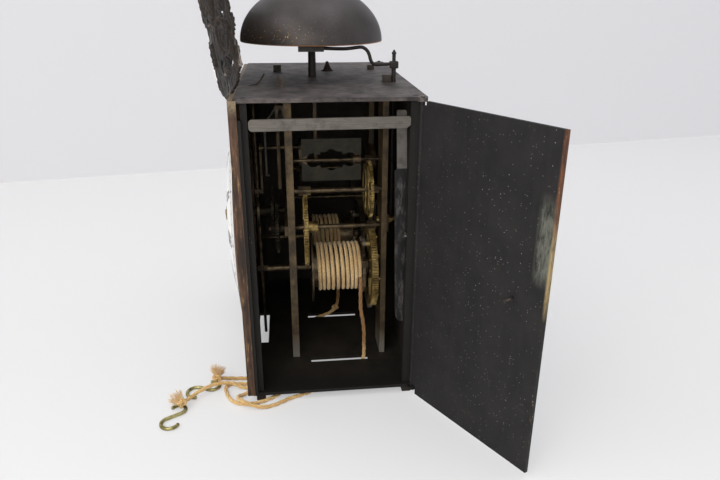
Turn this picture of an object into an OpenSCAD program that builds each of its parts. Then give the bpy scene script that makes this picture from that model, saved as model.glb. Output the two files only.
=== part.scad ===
// Weight-driven wall clock movement of the Comtoise kind, in its iron cage.
// Heights are measured from the underside of the bottom plate, which stands on four square nuts.
// X runs to the clock's right, -Y is the dial side and Z is up. The origin is on the surface
// that the clock stands on, at the middle of the cage.

/* [Cage] */
// Width of the top and bottom plates
cage_w = 240; // [238:1:250]
// Depth of the top plate
cage_d = 150; // [149:1:156]
// Height from the bottom plate's underside to the top plate's top
cage_h = 266; // [264:1:276]
// Thickness of the top and bottom plates
plate_t = 3; // [2:0.5:4]
// Depth of the bottom plate
floor_d = 145; // [143:1:148]
// Distance that the bottom plate is set to the front
floor_shift = 1.5; // [1:0.1:2]
// Side of the square corner posts
post_w = 8; // [7:0.5:9]
// depth of the two front posts, which are thinner than the back ones
front_post_t = 5.4; // [5.2:0.1:8]
// Distance from a post's outer face to the plate's side edge
post_inset_x = 3; // [2:0.5:4]
// Distance from a post's outer face to the plate's front or rear edge
post_inset_y = 4.6; // [4.4:0.1:6]
// Diameter of the tenons riveted into the plates
tenon_d = 5; // [4:0.5:6]
// Height of the square nuts that the clock stands on
foot_h = 7; // [6:0.5:10]
// Side of those nuts
foot_w = 8; // [7.5:0.5:9]
// Thickness of the back panel
back_t = 1.2; // [0.8:0.1:2]

/* [Bars] */
// Centre of the strike train's bars across the clock
strike_bar_x = 48; // [47:0.5:49]
// Centre of the going train's bars across the clock
going_bar_x = -48; // [-49:0.5:-47]
// Width of the bars
bar_w = 30; // [28:0.5:32]
// Rear face of the front bars
front_bar_y = -31; // [-32:0.5:-30]
// Thickness of the front bars
front_bar_t = 6.5; // [5:0.5:7]
// Front face of the rear bars
rear_bar_y = 48.5; // [48:0.5:50]
// Thickness of the rear bars
rear_bar_t = 5; // [4:0.5:6]
// Radial clearance of every running fit
run_gap = 0.05; // [0.02:0.01:0.08]
// End shake of each arbor between its bars
end_gap = 0.3; // [0.2:0.05:0.5]

/* [Strike train] */
// Barrel arbor across the clock
barrel_x = 46; // [45:0.5:47]
// Barrel arbor's height
barrel_z = 93; // [91:0.5:95]
// Second arbor across the clock
second_x = 51.6; // [50.6:0.2:52.6]
// Second arbor's height
second_z = 136; // [135:0.5:137]
// Third arbor across the clock
third_x = 60; // [59:0.2:60.4]
// Third arbor's height
third_z = 174; // [173:0.5:175]
// Fly arbor across the clock
fly_x = 48; // [47:0.5:49]
// Fly arbor's height
fly_z = 199; // [198:0.5:200]
// Teeth of the great wheel
great_teeth = 100; // [96:1:104]
// Leaves of the second arbor's pinion
second_leaves = 10; // [9:1:11]
// Teeth of the second wheel
second_teeth = 90; // [84:1:96]
// Leaves of the third arbor's pinion
third_leaves = 10; // [9:1:11]
// Teeth of the third wheel
third_teeth = 72; // [70:1:76]
// Leaves of the fly's pinion
fly_leaves = 8; // [8:1:9]
// Length of the fly's vane
vane_l = 54; // [48:1:56]
// Height of the fly's vane
vane_h = 39; // [34:1:41]
// Thickness of the vane's sheet
vane_t = 0.8; // [0.5:0.1:1.2]

/* [Going train] */
// Barrel arbor across the clock
going_barrel_x = -46; // [-47:0.5:-45]
// Barrel arbor's height
going_barrel_z = 89; // [88:0.5:90]
// Second arbor across the clock
going_second_x = -54; // [-55:0.5:-53]
// Second arbor's height
going_second_z = 131; // [130:0.5:132]
// Third arbor across the clock
going_third_x = -46; // [-47:0.5:-45]
// Third arbor's height
going_third_z = 166; // [165:0.5:167]
// Escape arbor across the clock
escape_x = -20; // [-20.5:0.5:-19.5]
// Escape arbor's height
escape_z = 180; // [179.5:0.5:180.5]
// Teeth of the great wheel
going_great_teeth = 72; // [70:1:74]
// Leaves of the second arbor's pinion
going_second_leaves = 8; // [8:1:9]
// Teeth of the second wheel
going_second_teeth = 80; // [78:1:84]
// Leaves of the third arbor's pinion
going_third_leaves = 8; // [8:1:9]
// Teeth of the third wheel
going_third_teeth = 75; // [72:1:78]
// Leaves of the escape arbor's pinion
escape_leaves = 8; // [8:1:9]
// Teeth of the escape wheel
escape_teeth = 30; // [28:1:32]
// Radius of the escape wheel over its teeth
escape_r = 19.5; // [19:0.1:19.6]
// Height of the anchor's arbor
anchor_z = 200; // [199.5:0.5:200.5]
// Height at which the crutch holds the pendulum rod
fork_z = 157; // [154:1:160]
// Depth of the pendulum's suspension pin below the top plate
pendulum_drop = 11; // [10:0.5:13]
// Distance of the pendulum rod in front of the cage's middle
pendulum_y = -66; // [-67:0.5:-65.5]
// Diameter of the pendulum rod
pendulum_d = 3; // [2:0.5:3.5]

/* [Barrels] */
// Diameter of the rope drums
drum_d = 40; // [38:0.5:41]
// Radius of the drums' front flanges
flange_r = 34; // [30:1:35]
// Front face of the drums' front flanges
flange_y = -17; // [-17.5:0.5:-16.5]
// Thickness of the front flange
flange_t = 1.5; // [1:0.25:2]
// Front face of the ratchet
ratchet_y = 31; // [31:0.25:31.5]
// Radius of the ratchets over their teeth
ratchet_r = 27; // [25:0.5:27]
// Diameter of the winding arbors
wind_d = 6; // [5:0.5:7]
// Front face of the great wheels
great_y = 38; // [37.9:0.1:38.4]
// Thickness of the great wheels
great_t = 5.5; // [4:0.25:5.5]
// Diameter of the rope where it is wound tight
wound_d = 3.1; // [2.8:0.1:3.2]
// Turns of rope on the strike drum
strike_turns = 10; // [9:1:10]
// Turns of rope on the going drum
going_turns = 7; // [6:1:7]

/* [Motion work] */
// Height of the dial's centre
dial_z = 135.5; // [134.5:0.5:136.5]
// Reverse wheel's stud across the clock
reverse_x = 28.8; // [28.4:0.2:29.4]
// Distance from the dial's centre down to the reverse wheel's stud
reverse_drop = 8.5; // [8:0.5:9]
// Leaves of the minute pinion
minute_leaves = 14; // [13:1:15]
// Teeth of the reverse wheel
reverse_teeth = 42; // [40:1:44]
// Leaves of the reverse pinion
reverse_leaves = 18; // [17:1:19]
// Teeth of the hour wheel
hour_teeth = 72; // [70:1:74]
// Length of the minute hand
minute_hand_l = 86; // [76:1:92]
// Length of the hour hand
hour_hand_l = 58; // [50:1:64]

/* [Front] */
// Radius of the enamel dial
dial_r = 104; // [100:0.5:106]
// Height of the dial's dome
dome_h = 13.5; // [10:0.5:14]
// Thickness of the enamel dial
dial_t = 1.5; // [1:0.25:2]
// Thickness of the front frame
frame_t = 3.7; // [3:0.1:4.5]
// Width of the brass ring round the dial
bezel_w = 8; // [6:0.5:10]
// height of the dial ring above the frame
bezel_h = 3.6; // [3.4:0.1:6]
// Height of the crown above the frame's top
crown_h = 128; // [118:1:134]
// Thickness of the crown's sheet
crown_t = 1.6; // [1.2:0.1:2.4]
// Radius to which the crown is bowed
crown_bow = 217.6; // [210:0.4:230]
// Distance that the crown's middle stands in front of the frame
crown_out = 13.5; // [12:0.5:15]
// Angle at which the crown leans forward
crown_lean = 8.5; // [6:0.5:9]

/* [Bell] */
// Bell's place across the clock
bell_x = -8; // [-9:0.5:-7]
// Bell's place in depth
bell_y = -9.4; // [-10:0.2:-9]
// Radius of the bell's rim
bell_r = 65.5; // [65:0.25:66.5]
// Height of the bell
bell_h = 48.5; // [46:0.5:52]
// Height of the bell's rim above the top plate
bell_lift = 32.4; // [32:0.2:36]
// Thickness of the bell's wall
bell_t = 3; // [2.5:0.1:3.2]

/* [Hammer] */
// Hammer arbor's place across the clock
hammer_x = 38.3; // [38:0.1:38.6]
// Hammer arbor's place in depth
hammer_y = 60.9; // [60.6:0.1:61.2]
// Height of the hammer head
hammer_head_h = 11.5; // [10:0.5:13]

/* [Release] */
// Release arbor's place in depth
release_y = -40.3; // [-40.5:0.1:-40.2]
// Depth of the release arbor below the top plate
release_drop = 17.2; // [16:0.2:19]
// Length of the release lever
lever_l = 126.4; // [118:0.4:128]
// Height of the release lever
lever_h = 9.2; // [8:0.2:10]
// Thickness of the release lever
lever_t = 2.2; // [1.8:0.1:2.3]

/* [Doors] */
// Width of each side door, from its hinge to its free edge
door_w = 134.2; // [130:0.2:136]
// Height of each side door
door_h = 266.7; // [264:0.1:267]
// Thickness of the doors' sheet
door_t = 3; // [2:0.25:3]
// Diameter of the doors' hinge rods
hinge_d = 4; // [3:0.5:4]
// Distance of the hinge axis outside the plate's side edge
hinge_out = 2; // [2:0.1:2.6]
// Angle at which the right door stands open
right_open = 120.5; // [90:0.5:140]

/* [Ropes] */
// Diameter of the hanging ropes
rope_d = 3.8; // [3.4:0.1:4]
// Diameter of the hooks' brass wire
hook_wire_d = 3.2; // [2.6:0.1:3.4]

/* [Hidden] */
$fn = 64;

half_w = cage_w / 2;
half_d = cage_d / 2;
roof_z = cage_h - plate_t;
post_x = half_w - post_inset_x - post_w / 2;
post_y = half_d - post_inset_y - post_w / 2;
front_post_y = half_d - post_inset_y - front_post_t / 2;
floor_front = -floor_d / 2 - floor_shift;
front_face = front_bar_y - front_bar_t;
rear_face = rear_bar_y + rear_bar_t;
arbor_front = front_bar_y + end_gap;
arbor_rear = rear_bar_y - end_gap;
pivot_r = 1.2;
arbor_r = 2.2;
pivot_l = 5.5;

// Where the winding arbors end behind the dial
wind_front = -68;
drum_r = drum_d / 2;
wound_r = drum_r + wound_d / 2 + 0.25;
wound_front = flange_y + flange_t + 2.2;
coil_pitch = 4.17;
tight_pitch = wound_d + 0.5;
open_pitch = 2 * (coil_pitch - tight_pitch);

// Motion work planes, counted from the front
minute_plane = -49;
hour_plane = -53.4;
bridge_y = front_face - 0.1;
bridge_t = 3;
frame_back = -half_d - 0.3;
frame_front = frame_back - frame_t;
dial_back = frame_front - 0.3;
dome_top = dial_back - dial_t - dome_h;
hour_hand_y = dome_top - 1.6;
minute_hand_y = hour_hand_y - 1.8;
hand_t = 1;
post_front = minute_hand_y - 1.3;

// Heights that hang on the top plate
pendulum_z = roof_z - pendulum_drop;
release_z = roof_z - release_drop;
rim_z = cage_h + bell_lift;
bell_seat = rim_z + (bell_h - bell_t) * 0.996;
hinge_x = half_w + hinge_out;
hinge_y = half_d - post_inset_y;
door_low = -2.9;

// Where the release lever runs, between a front post and the door
lever_x = half_w - post_inset_x + 0.4;
lever_front = release_y - 24;

// The bolt of the hammer's cock on the strike train's rear bar
cock_bolt = [46, 139];

function dist(a, b) = norm([a[0] - b[0], a[1] - b[1]]);
function aim(a, b) = atan2(b[1] - a[1], b[0] - a[0]);
function polar(r, a) = [r * cos(a), r * sin(a)];
function module_of(centres, wheel, pinion) = 2 * centres / (wheel + pinion);

// Arbor places as [x, z]
s1 = [barrel_x, barrel_z];
s2 = [second_x, second_z];
s3 = [third_x, third_z];
s4 = [fly_x, fly_z];
g1 = [going_barrel_x, going_barrel_z];
g2 = [going_second_x, going_second_z];
g3 = [going_third_x, going_third_z];
g4 = [escape_x, escape_z];
anchor_at = [0, anchor_z];
centre = [0, dial_z];
reverse_at = [reverse_x, dial_z - reverse_drop];

// How far a wheel tooth's flank leans in between the pitch circle and a height h above it, where the
// flank is the epicycloid drawn by a circle of radius rho
function lean(pitch_r, rho, h) =
    let (c = ((pitch_r + rho) ^ 2 + rho ^ 2 - (pitch_r + h) ^ 2) / (2 * rho * (pitch_r + rho)))
    let (roll = acos(c))
    rho * roll / pitch_r - atan2(rho * sin(roll), pitch_r + rho - rho * cos(roll));
function wheel_points(n, m, rho, phase) =
    let (pitch_r = n * m / 2, half = 0.44 * 180 / n, tip = half - lean(n * m / 2, rho, m))
    [for (i = [0 : n - 1]) for (p = [[pitch_r - 0.9 * m, -half], [pitch_r, -half], [pitch_r + m, -tip],
        [pitch_r + m, tip], [pitch_r, half], [pitch_r - 0.9 * m, half]])
        polar(p[0], phase + i * 360 / n + p[1])];
function pinion_points(n, m, phase) =
    let (pitch_r = n * m / 2, half = 0.38 * 180 / n)
    [for (i = [0 : n - 1]) for (p = [[pitch_r - 1.25 * m, -half], [pitch_r, -half],
        [pitch_r + 0.5 * m, -0.4 * half], [pitch_r + 0.5 * m, 0.4 * half], [pitch_r, half],
        [pitch_r - 1.25 * m, half]])
        polar(p[0], phase + (i + 0.5) * 360 / n + p[1])];
function saw_points(n, tip_r, depth) =
    [for (i = [0 : n - 1]) for (p = [[tip_r - depth, 0], [tip_r, 0.12], [tip_r - depth, 0.9]])
        polar(p[0], (i + p[1]) * 360 / n)];

// A tube swept along a path, with its rings turned as little as can be
function unit(v) = v / norm(v);
function way(path, i) = unit(path[min(i + 1, len(path) - 1)] - path[max(i - 1, 0)]);
function square_to(n, t) = unit(n - (n * t) * t);
function normals(path, i, n) =
    i == len(path) ? [] : let (m = square_to(n, way(path, i))) concat([m], normals(path, i + 1, m));
function least_gap(path, d, apart) =
    min([for (i = [0 : len(path) - apart - 1]) for (j = [i + apart : min(i + 3 * apart, len(path) - 1)])
        norm(path[i] - path[j]) - d]);

module tube(path, d, sides) {
    ns = normals(path, 0, [0.6, 0.8, 0.1]);
    last = len(path) - 1;
    rings = [for (i = [0 : last]) let (t = way(path, i), n = ns[i], b = cross(t, n))
        for (k = [0 : sides - 1]) path[i] + d / 2 * (cos(k * 360 / sides) * n + sin(k * 360 / sides) * b)];
    walls = [for (i = [0 : last - 1]) for (k = [0 : sides - 1]) let (l = (k + 1) % sides)
        [i * sides + k, i * sides + l, (i + 1) * sides + l, (i + 1) * sides + k]];
    start = [[for (k = [0 : sides - 1]) k]];
    end = [[for (k = [sides - 1 : -1 : 0]) last * sides + k]];
    polyhedron(rings, concat([for (w = walls) [w[0], w[2], w[1]]], [for (w = walls) [w[0], w[3], w[2]]],
        start, end));
}

module lift() translate([0, 0, foot_h]) children();
module block(x, y, z) translate([x[0], y[0], z[0]]) cube([x[1] - x[0], y[1] - y[0], z[1] - z[0]]);
module rod_x(y, z, x, r) translate([x[0], y, z]) rotate([0, 90, 0]) cylinder(h = x[1] - x[0], r = r);
module rod_y(at, y, r) translate([at[0], y[0], at[1]]) rotate([-90, 0, 0]) cylinder(h = y[1] - y[0], r = r);
module rod_z(x, y, z, r) translate([x, y, z[0]]) cylinder(h = z[1] - z[0], r = r);
module slice_y(y, at = [0, 0])
    translate([at[0], y[1], at[1]]) rotate([90, 0, 0]) linear_extrude(y[1] - y[0]) children();
module slice_x(x) translate([x[0], 0, 0]) rotate([90, 0, 90]) linear_extrude(x[1] - x[0]) children();
module turned_y(at) translate([at[0], 0, at[1]]) rotate([90, 0, 0]) rotate_extrude() children();
module wire(a, b, r) {
    v = b - a;
    translate(a) rotate([0, acos(v[2] / norm(v)), atan2(v[1], v[0])]) cylinder(h = norm(v), r = r, $fn = 24);
}
module bent_wire(points, r) {
    for (i = [0 : len(points) - 2]) wire(points[i], points[i + 1], r);
    for (i = [1 : len(points) - 2]) translate(points[i]) sphere(r = r + 0.15, $fn = 24);
}

// Windows between a wheel's crossings
module windows(outer_r, hub_r, arms, arm_w) {
    difference() {
        circle(r = outer_r);
        circle(r = hub_r);
        for (i = [0 : arms - 1]) rotate(i * 360 / arms + 20) translate([outer_r / 2, 0])
            square([outer_r + 2, arm_w], center = true);
    }
}
module gear(at, y, n, m, rho, phase, rim, hub_r, arms, arm_w) {
    slice_y(y, at) difference() {
        polygon(wheel_points(n, m, rho, phase));
        windows(n * m / 2 - 0.9 * m - rim, hub_r, arms, arm_w);
    }
}
module pinion(at, y, n, m, phase) slice_y(y, at) polygon(pinion_points(n, m, phase));
module arbor(at) {
    rod_y(at, [arbor_front, arbor_rear], arbor_r);
    rod_y(at, [arbor_front - pivot_l, arbor_rear + pivot_l - 1], pivot_r);
}

module post(x, y, t) {
    translate([x - post_w / 2, y - t / 2, plate_t]) cube([post_w, t, roof_z - plate_t]);
    rod_z(x, y, [-foot_h + 1, cage_h], tenon_d / 2);
}
module corners() for (x = [-post_x, post_x]) for (y = [-front_post_y, post_y])
    translate([x, y, 0]) children();
module hinge_ears(z, hole) {
    for (s = [-1, 1]) rod_z(s * hinge_x, hinge_y, z, hole ? hinge_d / 2 - 0.5 + run_gap : 4);
}

module bottom_plate() {
    color("#2b2729") lift() difference() {
        union() {
            block([-half_w, half_w], [floor_front, floor_front + floor_d], [0, plate_t]);
            hinge_ears([0, plate_t], false);
        }
        hinge_ears([-1, plate_t + 1], true);
        corners() translate([0, 0, -1]) cylinder(h = plate_t + 2, d = tenon_d + 2 * run_gap);
        block([66, 73.5], [-20, 36], [-1, plate_t + 1]);
        block([-25, -16.5], [-20, 33], [-1, plate_t + 1]);
        block([-32, 32], [-73, -62.5], [-1, plate_t + 1]);
    }
}
module top_plate() {
    color("#4a4449") lift() difference() {
        union() {
            block([-half_w, half_w], [-half_d, half_d], [roof_z, cage_h]);
            hinge_ears([roof_z, cage_h], false);
        }
        hinge_ears([roof_z - 1, cage_h + 1], true);
        corners() translate([0, 0, roof_z - 1]) cylinder(h = plate_t + 2, d = tenon_d + 2 * run_gap);
        rod_z(hammer_x, hammer_y, [roof_z - 1, cage_h + 1], 2 + run_gap);
    }
}
module corner_posts() {
    color("#2f2b2d") lift() for (x = [-post_x, post_x]) {
        post(x, -front_post_y, front_post_t);
        post(x, post_y, post_w);
    }
}
module feet() {
    color("#38322f") lift() difference() {
        corners() translate([-foot_w / 2, -foot_w / 2, -foot_h]) cube([foot_w, foot_w, foot_h]);
        corners() translate([0, 0, -foot_h + 1 - end_gap]) cylinder(h = foot_h, d = tenon_d + 2 * run_gap);
    }
}

module pivot_holes(places, y) {
    for (p = places) rod_y(p, [y[0] - 1, y[1] + 1], pivot_r + run_gap);
}
module bar(x, y, places) {
    difference() {
        block([x - bar_w / 2, x + bar_w / 2], y, [plate_t, roof_z]);
        pivot_holes(places, y);
        children();
    }
}
module strike_front_bar() {
    color("#4b3f38") lift() bar(strike_bar_x, [front_face, front_bar_y], [s2, s3, s4])
        rod_y(s1, [front_face - 1, front_bar_y + 1], wind_d / 2 + run_gap);
}
module strike_rear_bar() {
    color("#4b3f38") lift() bar(strike_bar_x, [rear_bar_y, rear_face], [s2, s3, s4]) {
        rod_y(s1, [rear_bar_y - 1, rear_face + 1], 2 + run_gap);
        rod_y(cock_bolt, [rear_bar_y - 1, rear_face + 1], 2.5 + run_gap);
    }
}
module escape_lug(y) {
    slice_y(y) polygon([[going_bar_x + bar_w / 2, 168], [escape_x + 2, 172], [escape_x + 6, 176],
        [escape_x + 6, 185], [escape_x + 2, 189], [going_bar_x + bar_w / 2, 194]]);
}
module going_front_bar() {
    y = [front_face, front_bar_y];
    color("#453b35") lift() difference() {
        union() {
            block([going_bar_x - bar_w / 2, going_bar_x + bar_w / 2], y, [plate_t, roof_z]);
            escape_lug(y);
        }
        pivot_holes([g2, g3, g4], y);
        rod_y(g1, [front_face - 1, front_bar_y + 1], wind_d / 2 + run_gap);
    }
}
module going_rear_bar() {
    y = [rear_bar_y, rear_face];
    color("#453b35") lift() difference() {
        union() {
            block([going_bar_x - bar_w / 2, going_bar_x + bar_w / 2], y, [plate_t, roof_z]);
            escape_lug(y);
        }
        pivot_holes([g2, g3, g4], y);
        rod_y(g1, [rear_bar_y - 1, rear_face + 1], 2 + run_gap);
    }
}
module centre_bar() {
    y = [front_face - 8, front_face - 5.1];
    color("#453b35") lift() difference() {
        block([-7, 7], y, [anchor_z - 40, roof_z]);
        rod_y(anchor_at, [y[0] - 1, y[1] + 1], arbor_r + run_gap);
    }
}
module anchor_cock() {
    color("#453b35") lift() difference() {
        block([-7, 7], [-10, -7], [190, roof_z]);
        rod_y(anchor_at, [-11, -6], pivot_r + run_gap);
    }
}
module back_panel() {
    color("#1f1d1e") lift()
        block([-half_w + post_inset_x, half_w - post_inset_x], [hinge_y + 0.1, hinge_y + 0.1 + back_t],
            [plate_t + 0.3, roof_z - 0.3]);
}

module front_frame() {
    edge = half_w + 0.3;
    color("#5b4428") lift() {
        slice_y([frame_front, frame_back]) difference() {
            translate([-edge - 1.7, 1.8]) square([2 * edge + 3.4, cage_h - 2.8]);
            translate(centre) circle(r = dial_r - 4, $fn = 96);
        }
        for (s = [[-edge - 1.7, -edge], [edge, edge + 1.7]])
            block(s, [frame_back, frame_back + 2.8], [1.8, cage_h - 1]);
    }
}
function dome(r) = dome_h * (1 - (r / dial_r) ^ 3);
module dial() {
    steps = 8;
    color("#f2efe6") lift() difference() {
        turned_y(centre) polygon(concat(
            [for (i = [0 : steps]) let (r = dial_r * i / steps) [r, -dial_back + dome(r)]],
            [for (i = [steps : -1 : 0]) let (r = dial_r * i / steps) [r, -dial_back + dial_t + dome(r)]]));
        rod_y(centre, [dome_top - 1, 0], 6.5);
        for (p = [s1, g1]) rod_y(p, [dome_top - 1, 0], 6);
    }
}
module bezel() {
    y = -frame_front + 0.1;
    r = dial_r;
    color("#a8863f") lift() turned_y(centre)
        polygon([[r + 0.3, y], [r + bezel_w, y], [r + bezel_w, y + bezel_h / 2],
            [r + bezel_w - 3, y + bezel_h - 0.4], [r, y + bezel_h], [r - 1.5, y + bezel_h - 0.6],
            [r - 1.5, y + bezel_h - 1.3], [r + 0.3, y + 1.9]]);
}

// The crown's outline: a narrow foot, a broad wing at each side and a stepped top with lobes
module crown_half() {
    polygon([[0, 0], [68, 0], [70, 9.5], [88, 12.5], [100, 19], [108, 25], [116, 31], [119, 40], [117, 52],
        [120, 62], [117, 74], [119, 82], [112, 90], [98, 94], [88, 103], [72, 106], [60, 114], [42, 117],
        [30, crown_h - 5], [14, crown_h - 2], [0, crown_h]]);
    translate([108, 84]) circle(r = 9);
    translate([80, 99]) circle(r = 9);
    translate([52, 110]) circle(r = 9);
    translate([24, crown_h - 9]) circle(r = 8);
}
module crown_holes_half() {
    translate([103, 66]) circle(r = 4);
    translate([98, 34]) circle(r = 3.5);
    translate([84, 84]) circle(r = 4);
    translate([56, 96]) circle(r = 4.5);
    translate([26, 106]) circle(r = 4);
    polygon([[70, 22], [84, 26], [80, 34], [68, 32]]);
    polygon([[46, 60], [58, 54], [64, 66], [52, 74]]);
}
module crown_outline() {
    difference() {
        union() {
            crown_half();
            mirror([1, 0]) crown_half();
        }
        crown_holes_half();
        mirror([1, 0]) crown_holes_half();
    }
}
crown_foot = cage_h - 9;
module crown_place() lift()
    translate([0, frame_front - 0.1, crown_foot]) rotate([crown_lean, 0, 0]) children();
module crown_bow_to(r, z)
    translate([0, crown_bow - crown_out, z[0]]) cylinder(r = r, h = z[1] - z[0], $fn = 360);
module crown() {
    color("#b08d45") crown_place() {
        intersection() {
            slice_y([-40, 40]) crown_outline();
            difference() {
                crown_bow_to(crown_bow, [-1, crown_h + 20]);
                crown_bow_to(crown_bow - crown_t, [-2, crown_h + 30]);
            }
        }
        intersection() {
            block([-64, 64], [-30, 0], [0, crown_t]);
            crown_bow_to(crown_bow - crown_t / 2, [-1, 5]);
        }
    }
}
module crown_cartouche() {
    color("#f2efe6") crown_place() translate([0, -crown_out - 0.1, 17.5]) rotate([90, 0, 0])
        rotate_extrude() polygon([[0, 0], [15, 0], [14.4, 1.6], [10, 3.6], [5, 4.6], [0, 4.8]]);
}

module bell_post() {
    color("#2c2826") lift() {
        translate([bell_x, bell_y, cage_h]) cylinder(h = bell_seat - cage_h - 1.5, r1 = 3.8, r2 = 2.7);
        rod_z(bell_x, bell_y, [bell_seat - 1.5, bell_seat], 5);
        rod_z(bell_x, bell_y, [bell_seat, bell_seat + 13], 2.5);
    }
}
module bell() {
    inner_r = bell_r - bell_t;
    inner_h = bell_h - bell_t;
    color("#4d443d") lift() translate([bell_x, bell_y, rim_z]) rotate_extrude($fn = 96)
        polygon(concat([[inner_r, 0], [bell_r, 0], [bell_r, 2.5]],
            [for (a = [6 : 7 : 83]) [(bell_r - 1.2) * cos(a), bell_h * sin(a)]],
            [[2.5 + run_gap, bell_h], [2.5 + run_gap, inner_h]],
            [for (a = [84 : -7 : 7]) [inner_r * cos(a), inner_h * sin(a)]]));
}
module bell_nut() {
    color("#6b5c4e") lift() difference() {
        translate([bell_x - 5, bell_y - 5, rim_z + bell_h + 0.1]) cube([10, 10, 5]);
        rod_z(bell_x, bell_y, [rim_z + bell_h - 1, rim_z + bell_h + 7], 2.5 + run_gap);
    }
}
module key(x, y, w, h) translate([x - w / 2, y - w / 2, cage_h]) cube([w, w, h]);
module plate_keys() {
    notched = [strike_bar_x + 9.4, front_bar_y - 8];
    nut = [going_bar_x, 7.3];
    color("#57504f") lift() {
        difference() {
            key(notched[0], notched[1], 7.3, 8.2);
            block([notched[0] - 4, notched[0] + 4], [notched[1] - 1, notched[1] + 1.4],
                [cage_h + 5, cage_h + 9]);
        }
        key(going_bar_x + 1.1, front_bar_y - 11.5, 7.6, 6.3);
        key(going_bar_x - 6.5, rear_bar_y + 3.5, 6.6, 4.6);
        key(hammer_x, hammer_y - 6.3, 7.4, 6.6);
        translate([nut[0], nut[1], cage_h]) cylinder(h = 1, r = 6.4);
        translate([nut[0], nut[1], cage_h + 1]) rotate(45) cylinder(h = 6, r1 = 6.2, r2 = 2.2, $fn = 4);
        translate([nut[0], nut[1], cage_h + 7.4]) sphere(r = 1.8, $fn = 24);
    }
}

module release_cock(x) {
    difference() {
        block([x - 2, x + 2], [release_y - 4.4, front_face], [release_z - 4.5, release_z + 4.5]);
        rod_x(release_y, release_z, [x - 3, x + 3], 2 + run_gap);
    }
}
module release_cocks() {
    color("#4b3f38") lift() {
        release_cock(strike_bar_x + 10);
        release_cock(going_bar_x);
    }
}
module release_arbor() {
    foot = release_z - 71.8;
    step = lever_x - 0.3;
    end = lever_x + lever_t;
    color("#6a5a4c") lift() {
        rod_x(release_y, release_z, [going_bar_x - 5, step], 2);
        rod_x(release_y, release_z, [step - 0.5, end + 0.5], 1.5);
        rod_x(release_y, release_z, [end + 0.1, end + 0.6], 3);
        for (x = [going_bar_x + 2.3, strike_bar_x + 12.3]) rod_x(release_y, release_z, [x, x + 2], 2.7);
        bent_wire([[10, release_y, release_z], [10, -56, release_z - 20], [10, -56, foot + 1.5],
            [10, -53.5, foot + 1]], 1.2);
    }
}
module release_lever() {
    rear = lever_front + lever_l;
    low = release_z - lever_h / 2;
    high = release_z + lever_h / 2;
    color("#a9a7a2") lift() difference() {
        slice_x([lever_x, lever_x + lever_t]) {
            polygon([[lever_front + 3, low], [rear - 3, low + 0.6], [rear, low + 3], [rear, high - 1],
                [rear - 1, high + 0.6], [lever_front + 3, high], [lever_front, high - 3],
                [lever_front, low + 3]]);
            for (z = [low + 3, high - 3]) translate([lever_front + 3, z]) circle(r = 3);
        }
        rod_x(release_y, release_z, [lever_x - 1, lever_x + lever_t + 1], 1.5 + run_gap);
    }
}
module guide_strip() {
    x = post_x - post_w / 2 - 2.1;
    rear = hinge_y - 9.8;
    top = roof_z - 9;
    color("#77736e") lift() slice_x([x, x + 2])
        polygon([[rear - 5.4, 73], [rear - 4.4, 67], [rear - 1.2, 63.5], [rear + 6.1, 63.5],
            [rear + 1.6, top - 48],
            [rear, top - 1], [rear - 1, top], [rear - 7, top], [rear - 8, top - 1], [rear - 6.7, top - 48],
            [rear - 8.6, top - 50]]);
}

module hammer_cock() {
    color("#5a4a40") lift() difference() {
        union() {
            block([33, 56], [rear_face + 0.1, rear_face + 2.6], [130, 147]);
            block([33, 41.8], [rear_face + 0.1, hammer_y + 4.5], [136, 139]);
        }
        rod_z(hammer_x, hammer_y, [135, 140], 1.5 + run_gap);
        rod_y(cock_bolt, [rear_face - 1, rear_face + 4], 2.5 + run_gap);
    }
}
module hammer_cock_bolt() {
    color("#b5953f") lift() {
        rod_y(cock_bolt, [rear_bar_y - 2.1, rear_bar_y - 0.1], 3.3);
        rod_y(cock_bolt, [rear_bar_y - 0.1, rear_face + 7.5], 2.5);
        rod_y(cock_bolt, [rear_face + 2.7, rear_face + 5.7], 4);
    }
}
module hammer() {
    x = hammer_x;
    y = hammer_y;
    color("#54473f") lift() {
        rod_z(x, y, [cock_bolt[1] + 0.2, cage_h + 18], 2);
        rod_z(x, y, [cock_bolt[1] - 2.5, cock_bolt[1] + 1], 1.5);
        block([x - 3.7, x + 3.7], [y - 3.7, y + 3.7], [cage_h + 12, cage_h + 18]);
        rod_z(x, y, [cage_h + 17, cage_h + 24], 1.6);
        translate([x, y, cage_h + 23.6]) sphere(r = 2);
        bent_wire([[x, y, cage_h + 15.6], [x + 1, 41, cage_h + 15.6], [x + 1.7, 33, rim_z - 2.5],
            [x + 6.9, -1.2, rim_z - 2.5]], 1.5);
        block([27.5, x], [y - 1.5, y + 1.5], [149, 153]);
        block([27.5, 30.5], [46.3, y + 1.5], [149, 153]);
        block([27.5, 30.5], [46.3, 47.9], [102, 153]);
    }
}
module hammer_head() {
    color("#4a3f38") lift()
        block([hammer_x + 4.2, hammer_x + 12.2], [-23, -1.3], [rim_z - 4.9, rim_z - 4.9 + hammer_head_h]);
}

module drum(at) {
    rod_y(at, [wind_front + 9, arbor_rear], wind_d / 2);
    rod_y(at, [arbor_rear - 1, rear_face - 0.5], 2);
    slice_y([wind_front, wind_front + 10], at) rotate(45) square(wind_d * 0.7, center = true);
    rod_y(at, [flange_y, flange_y + flange_t], flange_r);
    rod_y(at, [flange_y + flange_t - 0.5, ratchet_y], drum_r);
    slice_y([ratchet_y - 0.3, ratchet_y + 2.5], at) polygon(saw_points(24, ratchet_r, 2.4));
    rod_y(at, [ratchet_y + 2, great_y - end_gap], 10);
}
module strike_barrel() color("#3a3330") lift() drum(s1);
module going_barrel() color("#35302e") lift() drum(g1);

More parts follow.
